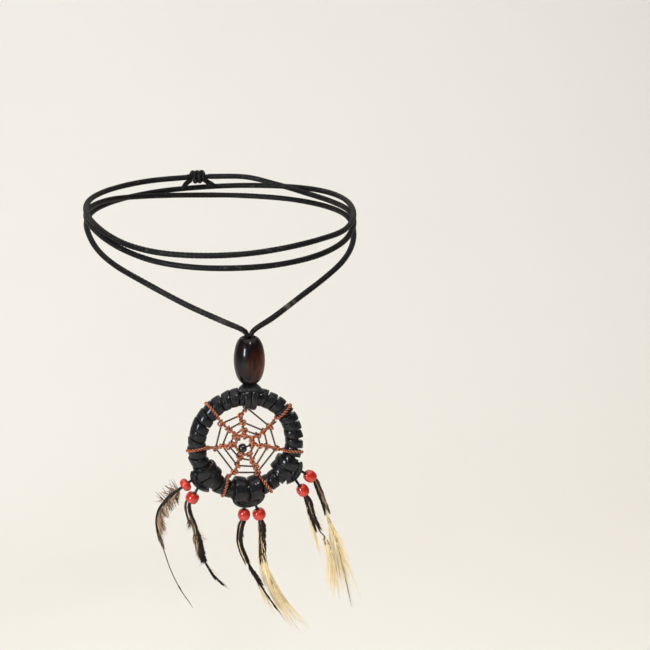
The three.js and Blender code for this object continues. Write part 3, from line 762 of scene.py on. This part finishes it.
def glass_material(name, dark, bright, scatter, coat, shine):
    """Pressed glass, with faint swirls of a second shade."""
    surface = {"Specular_IOR_Level": shine, "Coat_Weight": coat, "Coat_Roughness": 0.04}
    n = Nodes(name, **surface, Subsurface_Weight=scatter)
    n.shader.inputs["Subsurface Scale"].default_value = 0.6 * MM
    swirls = n.noise(n.straight((300, 300, 300)), detail=3)
    specks = n.noise(n.straight((2200, 2200, 2200)), detail=2)
    colour = n.mix(n.between(swirls, 0, 1, 0.35, 0.65), dark, bright)
    return n.finish(colour, n.between(specks, 0.1, 0.2), n.bump(swirls, 0.12 * MM, 0.3))


def feather_material(name, *stops):
    """Barbs coloured from dark to pale by their tone, with fine streaks along them."""
    n = Nodes(name, Specular_IOR_Level=0.25)
    streaks = n.noise(n.straight((500, 6000, 6000)), detail=3)
    tone = n.maths("ADD", n.tone(), n.between(streaks, -0.12, 0.12))
    colour = n.ramp(tone, *stops)
    return n.finish(colour, n.between(streaks, 0.5, 0.75), n.bump(streaks, 0.03 * MM, 0.5))


CORD = cord_material()
LEATHER = leather_material()
WILLOW = willow_material()
WOOD = wood_material(middle("wood_bead"))
THREAD_WAX = thread_material()
BLACK_GLASS = glass_material("black_glass", (0.001, 0.001, 0.0015), (0.006, 0.0055, 0.006), 0.0, 0.6, 0.3)
RED_GLASS = glass_material("red_glass", (0.32, 0.0075, 0.0025), (0.55, 0.022, 0.006), 0.1, 1.0, 0.25)
DARK = (0.004, 0.003, 0.003)
BROWN = (0.06, 0.032, 0.019)
TAN = (0.42, 0.27, 0.16)
SAND = (0.66, 0.5, 0.36)
CREAM = (0.96, 0.78, 0.46)
FEATHER_MATERIALS = {
    "dark_feather": feather_material("dark_feather", (0, DARK), (0.35, BROWN), (0.65, TAN), (1, CREAM)),
    "tan_feather": feather_material("tan_feather", (0, DARK), (0.3, BROWN), (0.55, TAN), (1, SAND)),
    "pale_feather": feather_material("pale_feather", (0, DARK), (0.35, BROWN), (0.6, TAN), (0.9, CREAM)),
}


# ------------------------------------------------------------------------------- camera, stage and lights
def make_camera():
    data = bpy.data.cameras.new("camera")
    data.lens = CAMERA_LENS
    data.clip_end = 20
    camera = bpy.data.objects.new("camera", data)
    camera.location = CAMERA_PLACE
    camera.rotation_euler = (math.radians(90 - CAMERA_PITCH), 0, math.radians(-CAMERA_YAW))
    bpy.context.scene.collection.objects.link(camera)
    bpy.context.scene.camera = camera


def make_stage():
    """A pale floor that curves up into a backdrop."""
    profile = [(STAGE_FRONT_Y, FLOOR_Z)]
    for step in range(17):
        turn = math.radians(90 * step / 16)
        y = BACKDROP_Y - BACKDROP_BEND + BACKDROP_BEND * math.sin(turn)
        profile.append((y, FLOOR_Z + BACKDROP_BEND * (1 - math.cos(turn))))
    profile.append((BACKDROP_Y, STAGE_HEIGHT))
    vertices = [(x, y, z) for y, z in profile for x in (-STAGE_HALF_WIDTH, STAGE_HALF_WIDTH)]
    faces = [(2 * i, 2 * i + 1, 2 * i + 3, 2 * i + 2) for i in range(len(profile) - 1)]
    mesh = bpy.data.meshes.new("backdrop")
    mesh.from_pydata(vertices, [], faces)
    mesh.polygons.foreach_set("use_smooth", [True] * len(faces))
    n = Nodes("backdrop_paper", Roughness=0.9, Specular_IOR_Level=0.1)
    mottle = n.noise(n.place((4, 4, 4)), detail=2)
    mesh.materials.append(n.finish(n.mix(mottle, (0.83, 0.80, 0.745), (0.86, 0.835, 0.785))))
    backdrop = bpy.data.objects.new("backdrop", mesh)
    bpy.context.scene.collection.objects.link(backdrop)


def area_light(name, place, target, size, power, colour):
    data = bpy.data.lights.new(name, "AREA")
    data.shape = "RECTANGLE"
    data.size, data.size_y = size
    data.energy = power
    data.color = colour
    light = bpy.data.objects.new(name, data)
    light.location = place
    light.rotation_euler = (Vector(target) - Vector(place)).to_track_quat("-Z", "Y").to_euler()
    bpy.context.scene.collection.objects.link(light)


def make_lights():
    world = bpy.data.worlds.new("studio")
    bpy.context.scene.world = world
    world.use_nodes = True
    background = world.node_tree.nodes["Background"]
    background.inputs["Color"].default_value = (1.0, 0.975, 0.94, 1)
    background.inputs["Strength"].default_value = WORLD_STRENGTH
    pendant = tuple(HOOP_CENTRE)
    area_light("window", (-0.78, -0.75, 0.13), pendant, (0.13, 0.32), 9.5, (0.82, 0.9, 1.0))
    area_light("lamp", (0.02, -0.75, 0.75), pendant, (0.12, 0.12), 3.6, (1.0, 0.95, 0.88))
    area_light("overhead", (0.0, 0.1, 1.3), (0, 0.2, -0.3), (2.2, 2.2), 21.2, (1.0, 0.98, 0.95))
    bpy.context.scene.view_settings.view_transform = "Standard"


# -------------------------------------------------------------------------------------------------- cord
def braided(skin, line, radius, seed, tone=0.0, start=0.0):
    """A braided cord with rounded ends, its strands passing over and under each other."""
    _, normals, binormals = frames(line)
    along = distances(line)
    around = np.arange(CORD_SIDES) * 2 * math.pi / CORD_SIDES
    turns = (along / BRAID["length"] * math.pi)[:, None]
    half = BRAID["strands"] / 2
    over = np.abs(np.sin(half * around + turns) * np.sin(half * around - turns)) ** 0.6
    uneven = 1 + 0.05 * smooth_noise(along, seed, 9 * MM)[:, None]
    from_end = np.minimum(along, along[-1] - along)[:, None]
    rounding = np.sqrt(1 - np.clip(1 - from_end / radius, 0, 0.98) ** 2)
    radii = radius * uneven * rounding * (1 + BRAID["depth"] * (over - 0.55))
    section = np.stack([-radii * np.sin(around), radii * np.cos(around)], axis=-1)
    skin.place(line, normals, binormals, section, tone, start=start)


def loop_point(angle, height, lift):
    """A point of the loops, from a row of a route."""
    radius, turn = LOOP_RADIUS + lift, math.radians(angle)
    return (radius * math.sin(turn), -radius * math.cos(turn), height)


def neck_cord(name, side, route, worn):
    """Half of the neck cord, from the bead's mouth round the loops to the closing knot."""
    start = [(side * (out - CORD_PINCH), PENDANT_Y + back, APEX_Z + up) for out, back, up in LEG_START]
    end = KNOT_CENTRE + Vector((side * (KNOT_HALF + 0.3 * MM), 0, 0))
    line = smooth_line([*start, *(loop_point(*row) for row in route), end], CORD_SPACING)
    along = np.arange(len(line)) * CORD_SPACING
    tone = np.zeros(len(line))
    for place, length, amount in worn:
        tone = np.maximum(tone, amount * np.exp(-(((along - place) / length) ** 2)))
    skin = Skin()
    pulled = np.clip(along / CORD_PULLED, 0, 1)[:, None] ** 0.5
    radius = CORD_RADIUS * (CORD_THINNEST + (1 - CORD_THINNEST) * pulled)
    braided(skin, line, radius, 3 + side, tone[:, None])
    return mounted(skin, f"cord_{name}", CORD, "neck_cord", "black_cord", f"neck_cord_{name}"), line


def closing_knot():
    """A barrel knot: turns round both strands, with a short cut tail at each side."""
    coil = []
    for i in range(int(KNOT_TURNS * KNOT_STEPS) + 1):
        share = i / (KNOT_TURNS * KNOT_STEPS)
        turn = 2 * math.pi * KNOT_TURNS * share
        sideways = (2 * share - 1) * KNOT_COIL_HALF
        coil.append((sideways, KNOT_COIL_RADIUS * math.cos(turn), KNOT_COIL_RADIUS * math.sin(turn)))
    tail, *strands = (np.array(row) * MM for row in (KNOT_TAIL, *KNOT_STRANDS))
    skin = Skin()
    for i, strand in enumerate([[*coil, *tail], *strands]):
        points = [KNOT_CENTRE + Vector(point) for point in strand]
        braided(skin, smooth_line(points, CORD_SPACING), KNOT_CORD_RADIUS, 11 + i)
    return mounted(skin, "barrel_knot", CORD, "neck_cord", "black_cord", "closing_knot")


def drop_cord(name, side):
    """One strand of the doubled cord inside the bead."""
    x = side * STRAND_OFFSET
    line = spaced([(x, PENDANT_Y, DROP_TOP_Z), (x, PENDANT_Y, DROP_BOTTOM_Z)], CORD_SPACING)
    skin = Skin()
    braided(skin, line, CORD_RADIUS, 21 + side)
    mounted(skin, f"bore_cord_{name}", CORD, "drop_cord", "black_cord", f"drop_cord_{name}")


# ------------------------------------------------------------------------------------------- wooden bead
def wood_bead():
    """An oval bead turned about its bore, with softly rounded mouths."""
    low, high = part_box("wood_bead")
    half = (high.z - low.z) / 2
    profile = []
    for along in np.sin(np.linspace(-math.pi / 2, math.pi / 2, 72)):
        swell = (1 - along * along) ** BEAD_TAPER
        profile.append((BEAD_END_RADIUS + (BEAD_RADIUS - BEAD_END_RADIUS) * swell, along * half))
    for height in np.linspace(half, -half, 24):
        to_mouth = half - abs(height)
        flare = MOUTH_EDGE * max(0, 1 - to_mouth / MOUTH_EDGE) ** 2
        profile.append((BEAD_BORE + flare, height))
    skin = Skin()
    turned(skin, (low + high) / 2, (0, 0, 1), profile, 112)
    mounted(skin, "turned_bead", WOOD, "wood_bead", "dark_wood", "wood_bead")


# -------------------------------------------------------------------------------------- hoop and leather
def lace_outline():
    """A lace's outline: the side and face of each point, its place on the corner, and how cut it is."""
    rows = []
    for side, face, first in ((1, 1, 0), (-1, 1, 90), (-1, -1, 180), (1, -1, 270)):
        for turn in (first, first + 45, first + 90):
            across, out = math.cos(math.radians(turn)), math.sin(math.radians(turn))
            rows.append((side, face, across, out, abs(across) if face > 0 else 0.55 + 0.45 * abs(across)))
        middle_tone = 0.0 if face > 0 else 0.5
        if side == face:
            rows.extend((share * side, face, 0, face, middle_tone) for share in (0.55, 0, -0.55))
    return np.array(rows)


LACE_OUTLINE = lace_outline()


def lace(skin, line, outs, width, thickness, seed, roll=0.0, wear=0.0):
    """A strip of lace with rounded corners, a slight crown and unevenly cut edges, its grain side out."""
    tangents = unit(np.gradient(line, axis=0))
    outs = unit(outs - (outs * tangents).sum(-1, keepdims=True) * tangents)
    acrosses = np.cross(outs, tangents)
    tilt = np.radians(np.broadcast_to(roll, len(line)))[:, None]
    rolled = outs * np.cos(tilt) + acrosses * np.sin(tilt)
    outs, acrosses = rolled, acrosses * np.cos(tilt) - outs * np.sin(tilt)
    along = distances(line)
    cuts = [LACE_CUT * smooth_noise(along, seed + k, 0.8 * MM) for k in range(2)]
    swell = 1 + 0.05 * smooth_noise(along, seed + 5, 3 * MM)
    side, face, corner_across, corner_out, cut = LACE_OUTLINE.T
    half = np.broadcast_to(width, len(line))[:, None] / 2 - LACE_CORNER
    half = half + np.where(side > 0, cuts[0][:, None], cuts[1][:, None]) * np.abs(side)
    across = side * half + corner_across * LACE_CORNER
    crown = LACE_CROWN * (face > 0) * (1 - np.minimum(np.abs(side), 1) ** 2)
    flat_out = thickness * swell[:, None] / 2 - LACE_CORNER
    out = face * flat_out + corner_out * LACE_CORNER + crown - LACE_CROWN / 2
    tone = np.clip(cut * 0.6 + np.broadcast_to(wear, len(line))[:, None], 0, 1)
    skin.place(line, outs, acrosses, np.stack([across, out], axis=-1), tone)


def lace_on_tube(skin, angles, turns, radii, width, thickness, seed, roll=0.0, wear=0.0):
    """Lace laid on the hoop's tube along a path of hoop angles, turns and distances from its middle."""
    line = on_tube(angles, turns, radii)
    lace(skin, line, unit(line - on_tube(angles, turns, 0)), width, thickness, seed, roll, wear)


def willow_ring():
    """The peeled willow ring inside the wrap, a little uneven as wood is."""
    angles = np.arange(360)
    turns = np.arange(20) * 18
    uneven = np.array([[noise.noise(Vector((a / 9, t / 40, 4.7))) for t in turns] for a in angles])
    around = np.minimum(angles, 360 - angles)[:, None] / 30
    radii = CORE_RADIUS * (1 + 0.03 * uneven * np.minimum(around, 1))
    rings = on_tube(angles[:, None], turns[None], radii)
    along = np.broadcast_to((np.radians(angles) * HOOP_RADIUS)[:, None], radii.shape)
    across = CORE_RADIUS * np.sin(np.radians(turns)) + 0 * radii
    out = CORE_RADIUS * np.cos(np.radians(turns)) + 0 * radii
    skin = Skin()
    skin.add(rings, np.stack([along, across, out], axis=-1), closed=True)
    mounted(skin, "willow_ring", WILLOW, "hoop", "willow", "hoop_core")


def wound_lace():
    """One lace wound round the ring, each turn lying a little differently from the one before."""
    turns = np.arange((WRAP_TURNS - 1) * WRAP_STEPS + 1) / WRAP_STEPS
    pitch = 360 / WRAP_TURNS
    shift = 1.2 * smooth_noise(turns, 31, 0.7)
    lift = 0.26 * MM * smooth_noise(turns, 37, 0.45)
    roll = 5 + 16 * smooth_noise(turns, 41, 0.6)
    angles = TIES["hitch"]["angle"] - pitch * (turns + 0.5) + shift
    outer = (1 + np.cos(2 * math.pi * turns)) / 2
    width = WRAP_WIDTH["inner"] + (WRAP_WIDTH["outer"] - WRAP_WIDTH["inner"]) * outer
    width = width - WRAP_WIDTH["looser"] * outer * np.cos(np.radians(angles))
    wear = np.clip(smooth_noise(turns, 43, 1.3) - 0.15, 0, 1) * 0.7
    skin = Skin()
    radii = WRAP_RADIUS + lift + WRAP_OUTWARD * (2 * outer - 1)
    lace_on_tube(skin, angles, -360 * turns, radii, width, LACE_THICKNESS, 47, roll, wear)
    mounted(skin, "wound_lace", LEATHER, "hoop", "black_leather", "leather_wrap")


def fuzz(skin, centre, out, count, length, seed):
    """Loose fibres that stand out of the cut leather."""
    rng = random.Random(seed)
    for _ in range(count):
        jitter = Vector((rng.gauss(0, 1), rng.gauss(0, 1), rng.gauss(0, 1)))
        start = Vector(centre) + jitter * 0.35 * MM
        aim = Vector(out) + Vector((rng.gauss(0, 0.6), rng.gauss(0, 0.6), rng.gauss(0, 0.6)))
        bend = Vector((rng.gauss(0, 1), rng.gauss(0, 1), rng.gauss(0, 1))) * 0.3
        reach = length * rng.uniform(0.5, 1.1)
        line = np.array([start + (aim * u + bend * u * u) * reach for u in np.linspace(0, 1, 6)])
        width = (0.09 * MM * (1 - 0.8 * np.linspace(0, 1, 6)))[:, None, None]
        skin.sweep(line, circle(1, 5) * width, 0.9)


def larks_head(skin, tie, seed):
    """Two legs of lace round the tube, drawn together by the bight that crosses them in layers."""
    angle, tilt, gap = tie["angle"], tie["tilt"], tie["gap"] * MM
    turns = tilt + np.linspace(*LEG_TURNS, 110)
    inner = (1 - np.cos(np.radians(turns))) / 2
    for k, (side, leg) in enumerate(zip((1, -1), tie["legs"])):
        width = leg * MM * (1.08 - 0.2 * inner)
        offset = side * (width / 2 - 0.1 * MM + gap / 2 * inner**0.8)
        radii = TIE_RADIUS + 0.12 * MM * smooth_noise(turns, seed + k, 70)
        roll = side * 5 * inner + 5 * smooth_noise(turns, seed + 9 + k, 60)
        wear = 0.3 * inner * (smooth_noise(turns, seed + 3, 50) + 0.6)
        places = angle - along_tube(offset)
        lace_on_tube(skin, places, turns, radii, width, TIE_THICKNESS, seed + 20 + k, roll, wear)
    share = np.linspace(-1, 1, 60)
    half = tie["bight"] / 2 * MM
    bight_turns = tie["lean"] + tie["rise"] * np.abs(share) ** 2.5
    for layer, widest in enumerate(tie["widths"]):
        width = widest * MM * (1 - 0.1 * share**4)
        across = angle + along_tube(share * (half - layer * BIGHT_LAYER / 2))
        radii = tie["reach"] * MM - tie["dive"] * MM * np.abs(share) ** 2.4 - layer * BIGHT_LAYER
        lace_on_tube(skin, across, bight_turns, radii, width, TIE_THICKNESS, seed + 30 + layer)


def hitch_lace():
    """The hitch over the hoop's top, with its two tails going up into the bead's bore."""
    skin = Skin()
    larks_head(skin, TIES["hitch"], 60)
    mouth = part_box("wood_bead")[0].z
    for k, (back, bottom_back, bottom_z) in enumerate(((-0.66, -3.7, -2.8), (0.64, -1.6, -1.5))):
        points = [
            (0, PENDANT_Y + bottom_back * MM, mouth + bottom_z * MM),
            (0, PENDANT_Y + (0.55 * bottom_back + 0.3 * back) * MM, mouth + 0.35 * bottom_z * MM),
            (0, PENDANT_Y + back * MM, mouth + 0.5 * MM),
            (0, PENDANT_Y + back * MM, mouth + 2.0 * MM),
        ]
        line = smooth_line(points, LINE_SPACING)
        lace(skin, line, np.broadcast_to((0, -1.0, 0.3), line.shape), TAIL_WIDTH, TIE_THICKNESS, 70 + k)
    mounted(skin, "hitch_lace", LEATHER, "hoop_hitch", "black_leather", "hoop_hitch")


def lace_tie(name, seed):
    """One of the three ties that the strands hang from, with loose fibres between its legs."""
    tie = TIES[name]
    skin = Skin()
    larks_head(skin, tie, seed)
    for turn, count in ((150, 26), (tie["tilt"] + 50, 12)):
        place = on_tube(tie["angle"], turn, TIE_RADIUS + 0.2 * MM)
        fuzz(skin, place, unit(place - on_tube(tie["angle"], turn, 0)), count, 1.1 * MM, seed)
    mounted(skin, f"lace_tie_{name}", LEATHER, "hoop", "black_leather", f"tie_{name}")


# ---------------------------------------------------------------------------------------------------- web
def twisted(skin, points, thread, seed, tone=None):
    """Two plies of thread twisted round each other along a line, with tapered ends."""
    line = spaced(points, THREAD_SPACING)
    if len(line) < 4:
        return
    tangents, normals, binormals = frames(line, (0.2, -1, 0.3))
    along = np.arange(len(line)) * THREAD_SPACING
    tones = (thread["tone"] if tone is None else tone) + 0.15 * smooth_noise(along, seed, 1.1 * MM)
    end = np.minimum(1, np.minimum(along, along[-1] - along) / (0.3 * MM) + 0.35)[:, None, None]
    for ply in (0, math.pi):
        turn = (2 * math.pi * along / thread["pitch"] + ply + seed)[:, None]
        away = np.cos(turn) * normals + np.sin(turn) * binormals
        uneven = 1 + 0.08 * smooth_noise(along, seed + ply, 0.8 * MM)[:, None, None]
        section = circle(thread["ply"], 8) * end * uneven
        outer = section[..., 1] / thread["ply"]
        strand = line + thread["offset"] * away
        # Painted shade: each ply is coloured darker in the groove beside the other ply and paler on its
        # outside.
        shade = np.clip(tones[:, None] * (1 + PAINTED_GROOVE_SHADE * (outer - 0.2)), 0, 1)
        skin.place(strand, away, np.cross(tangents, away), section, shade, start=seed * MM)


def web_knot(skin, place, rng, radius=WEB_KNOT_RADIUS):
    """A tight tangle of thread round a crossing."""
    turn = np.linspace(0, 2 * math.pi, 72, endpoint=False)
    coil = np.stack([
        np.sin(turn) + 2 * np.sin(2 * turn),
        np.cos(turn) - 2 * np.cos(2 * turn),
        -1.5 * np.sin(3 * turn),
    ], axis=-1)
    axes = [Vector([rng.gauss(0, 1) for _ in range(3)]).normalized() for _ in range(2)]
    axes.append(axes[0].cross(axes[1]).normalized())
    axes[1] = axes[2].cross(axes[0])
    size = radius * rng.uniform(0.85, 1.1) / COIL_REACH
    centre = np.asarray(place) + np.array([rng.uniform(-0.2, 0.2) for _ in range(3)]) * MM
    line = centre + size * coil @ np.array(axes)
    tangents = unit(np.roll(line, -1, axis=0) - np.roll(line, 1, axis=0))
    outs = unit(line - centre)
    outs = unit(outs - (outs * tangents).sum(-1, keepdims=True) * tangents)
    tone = 0.62 + rng.uniform(-0.15, 0.2)
    section = circle(KNOT_PLY, 8)
    # Painted shade: each turn of the knot is coloured darker on its side towards the knot's middle and paler
    # on its outside.
    shade = tone * (1 + PAINTED_GROOVE_SHADE * (section[:, 1] / KNOT_PLY - 0.2))
    acrosses = np.cross(outs, tangents)
    skin.place(line, outs, acrosses, section, np.clip(shade, 0, 1), True, rng.uniform(0, 9) * MM)
    # The ball is toned dark, 0.1: painted shade inside the knot.
    skin.add(*ball(centre, KNOT_FILLING * radius, rng), 0.1)


def ball(centre, radius, rng):
    """The rings of a small lumpy ball and their place on it, which fills a knot, where the caller tones it
    dark as painted shade.
    """
    rings = []
    for rise in np.linspace(-80, 80, 7):
        level, out = math.sin(math.radians(rise)), math.cos(math.radians(rise))
        ring = [(out * math.cos(t), out * math.sin(t), level) for t in np.arange(9) * 2 * math.pi / 9]
        rings.append(np.array(ring) * radius * rng.uniform(0.92, 1.08))
    rings = np.array(rings)
    return rings + centre, rings


def anchor(skin, spoke, seed):
    """A loop of thread round the tube, leaning from its outer side to its inner side."""
    turns = np.linspace(-180, 180, 121)
    outer = (1 + np.cos(np.radians(turns))) / 2
    lean = ANCHOR_LEAN * math.cos(math.radians(spoke["outer"])) * np.sin(np.radians(turns))
    angles = spoke["inner"] + (spoke["outer"] - spoke["inner"]) * outer + lean
    twisted(skin, on_tube(angles, turns, ANCHOR_RADIUS), SPOKE_THREAD, seed, 0.65)


def web():
    """Anchors on the hoop, knotted spokes, and rounds of thin thread that start at the top anchor."""
    rng = random.Random(7)
    skin = Skin()
    rows = []
    for spoke in SPOKES:
        knots = [in_hoop(spoke["angle"] + rng.uniform(-1.5, 1.5), radius) for radius in spoke["knots"]]
        rows.append([in_hoop(spoke["inner"], ANCHOR_INNER), *knots])
    for i, row in enumerate(rows):
        after = rows[(i + 1) % len(rows)]
        anchor(skin, SPOKES[i], 3 * i + 1)
        for k, knot in enumerate(row[1:], start=1):
            twisted(skin, [row[k - 1], knot], SPOKE_THREAD, 5 * i + k)
            start = row[0] if (i, k) == (0, 1) else knot
            last_round = k == len(row) - 1
            thread = SPOKE_THREAD if last_round else SPAN_THREAD
            twisted(skin, [start, after[k]], thread, 11 * i + k)
            web_knot(skin, knot, rng)
    doubled = in_hoop(SPOKES[1]["inner"] - 5, ANCHOR_INNER)
    twisted(skin, [doubled, rows[1][1]], SPAN_THREAD, 90)
    for spoke, turn, out, radius in EDGE_KNOTS:
        web_knot(skin, in_hoop(SPOKES[spoke]["inner"] + turn, ANCHOR_INNER + out), rng, radius)
    right_end, left_end = bead_thread()
    twisted(skin, [right_end, left_end], SPAN_THREAD, 95)
    mounted(skin, "knotted_web", THREAD_WAX, "hoop", "waxed_thread", "web_thread")
    return right_end, left_end


def bead_thread():
    """The two ends of the straight thread that carries the web's bead."""
    right = in_hoop(SPOKES[2]["angle"], SPOKES[2]["knots"][-1])
    ends = [in_hoop(SPOKES[i]["angle"], SPOKES[i]["knots"][-1]) for i in (4, 5)]
    return right, (ends[0] + ends[1]) / 2


def web_bead(right_end, left_end):
    """The black bead on the thread between these two ends."""
    place = right_end + (left_end - right_end) * WEB_BEAD["along"]
    profile = bead_profile(WEB_BEAD["radius"], WEB_BEAD["bore"], WEB_BEAD["length"] / 2, 2.2)
    skin = Skin()
    turned(skin, place, left_end - right_end, profile, 40)
    mounted(skin, "black_glass_bead", BLACK_GLASS, "web_bead", "black_glass", "web_bead")


# ------------------------------------------------------------------------------------------------ strands
def swing_roots():
    """Where each strand hangs from, by name."""
    roots = {}
    for joint in frame["joints"]:
        if joint["name"].startswith("swing_"):
            roots[joint["name"].removeprefix("swing_")] = np.array(joint["pos_m"])
    return roots


def feather_line(bead, out, strand):
    """The line of a feather from inside the bead, and straight on past its tip."""
    centre = np.array(HOOP_CENTRE)
    points = [bead + out * QUILL_FROM_BEAD, bead + out * 2 * MM]
    for i, (x, z) in enumerate(strand["line"]):
        points.append(centre + np.array((x, strand["side"] * min(1, (i + 1) / 2), z)) * MM)
    line = smooth_line(points, LINE_SPACING)
    return np.concatenate([line, line[-1:] + (line[-1] - line[-3]) * PAST_TIP])


class Shaft:
    """A line with its places in millimetres, and the shaft that runs beside it."""

    def __init__(self, line, rows):
        self.line = line
        self.along = distances(line) / MM
        self.places, self.lefts, self.widths = np.array(rows).T
        tangents = unit(np.gradient(line, axis=0))
        self.across = unit(np.cross((0.0, 1.0, 0.0), tangents))

    def left(self, along):
        return np.interp(along, self.places, self.lefts)

    def point(self, along, left, front):
        """Points in metres from places, leftward and frontward distances in millimetres."""
        columns = [np.interp(along, self.along, self.line[:, i]) for i in range(3)]
        across = [np.interp(along, self.along, self.across[:, i]) for i in range(3)]
        place = np.stack(columns, axis=-1) + np.stack(across, axis=-1) * np.asarray(left)[..., None] * MM
        return place + np.asarray(front)[..., None] * np.array((0, -1, 0)) * MM


def feather(name, bead, out, seed):
    """A quill with barbs that split into hair, held in the bead's bore."""
    facts = FEATHERS[name]
    shaft = Shaft(feather_line(bead, out, STRANDS[name]), facts["shaft"])
    rng = random.Random(seed)
    skin = Skin()
    places = np.arange(0, shaft.places[-1], 0.35)
    line = shaft.point(places, shaft.left(places), 0 * places)
    section = circle(0.5 * MM, 9) * np.interp(places, shaft.places, shaft.widths)[:, None, None]
    skin.sweep(line, section * (1, 0.7), facts["tone"], (0, -1, 0))
    for tuft in facts["tufts"]:
        barbs(skin, shaft, rng, *tuft)
    slot = facts["slot"]
    mounted(skin, f"plume_{name}", FEATHER_MATERIALS[slot], f"strand_{name}", slot, f"feather_{name}")


def barbs(skin, shaft, rng, first, last, count, reach, root, tip, tone, width, bend):
    """A tuft of barbs: flat tapered hairs that leave the shaft and wave a little."""
    u = np.linspace(0, 1, 8)
    outline = np.array([(1, 0), (0, 0.4), (-1, 0), (0, -0.4)])
    for _ in range(count):
        start = rng.uniform(first, last)
        from_left, to_left = rng.uniform(*root), rng.uniform(*tip)
        depth, bow = rng.uniform(-0.28, 0.28), rng.uniform(-0.45, 0.45)
        wave, phase = rng.uniform(0.0, 0.12), rng.uniform(0, 6.3)
        along = start + rng.uniform(*reach) * u
        spread = from_left + (to_left - from_left) * u**bend
        left = shaft.left(start) + spread + wave * np.sin(phase + 5 * u) * u
        line = shaft.point(along, left, depth + bow * u * u)
        size = width * rng.uniform(0.75, 1.25) / 2 * MM
        taper = (size * (1 - 0.8 * u**2.5) * np.minimum(1, 0.5 + 3 * u))[:, None, None]
        tangents = unit(np.gradient(line, axis=0))
        acrosses = unit(np.cross((0.0, 1.0, 0.0), tangents))
        outs = np.cross(tangents, acrosses)
        skin.place(line, outs, acrosses, outline * taper, rng.uniform(*tone), start=start * MM)


def strand(name, root, seed):
    """A thong, a red bead jammed on it, and the feather whose quill is in the bead."""
    bead = np.array(middle(f"red_bead_{name}"))
    out = unit(bead - root)
    thong = Skin()
    points = [root - out * THONG_TUCK, root, (root + bead) / 2 + (0, -0.1 * MM, 0), bead + out * 0.1 * MM]
    line = smooth_line(points, 0.2 * MM)
    uneven = 1 + 0.12 * smooth_noise(np.arange(len(line)) * 0.2, seed, 1.3)
    thong.sweep(line, circle(THONG_RADIUS, 12) * uneven[:, None, None] * (1, 0.85), 0.1)
    mounted(thong, f"lace_end_{name}", LEATHER, f"strand_{name}", "black_leather", f"thong_{name}")
    radius, length, roundness = STRANDS[name]["bead"]
    glass = Skin()
    turned(glass, bead, out, bead_profile(radius * MM, RED_BORE, length / 2 * MM, roundness), 48)
    mounted(glass, f"glass_bead_{name}", RED_GLASS, f"strand_{name}", "red_glass", f"red_bead_{name}")
    feather(name, bead, out, seed)


make_camera()
make_stage()
make_lights()

left_cord, left_line = neck_cord("left", -1, LEFT_ROUTE, LEFT_WORN)
right_cord, right_line = neck_cord("right", 1, RIGHT_ROUTE, RIGHT_WORN)
knot = closing_knot()
drop_cord("left", -1)
drop_cord("right", 1)
wood_bead()
willow_ring()
wound_lace()
hitch_lace()
for seed, tie_name in ((100, "left"), (140, "middle"), (180, "right")):
    lace_tie(tie_name, seed)
web_bead(*web())
for i, (strand_name, root) in enumerate(swing_roots().items()):
    strand(strand_name, root, 200 + i)
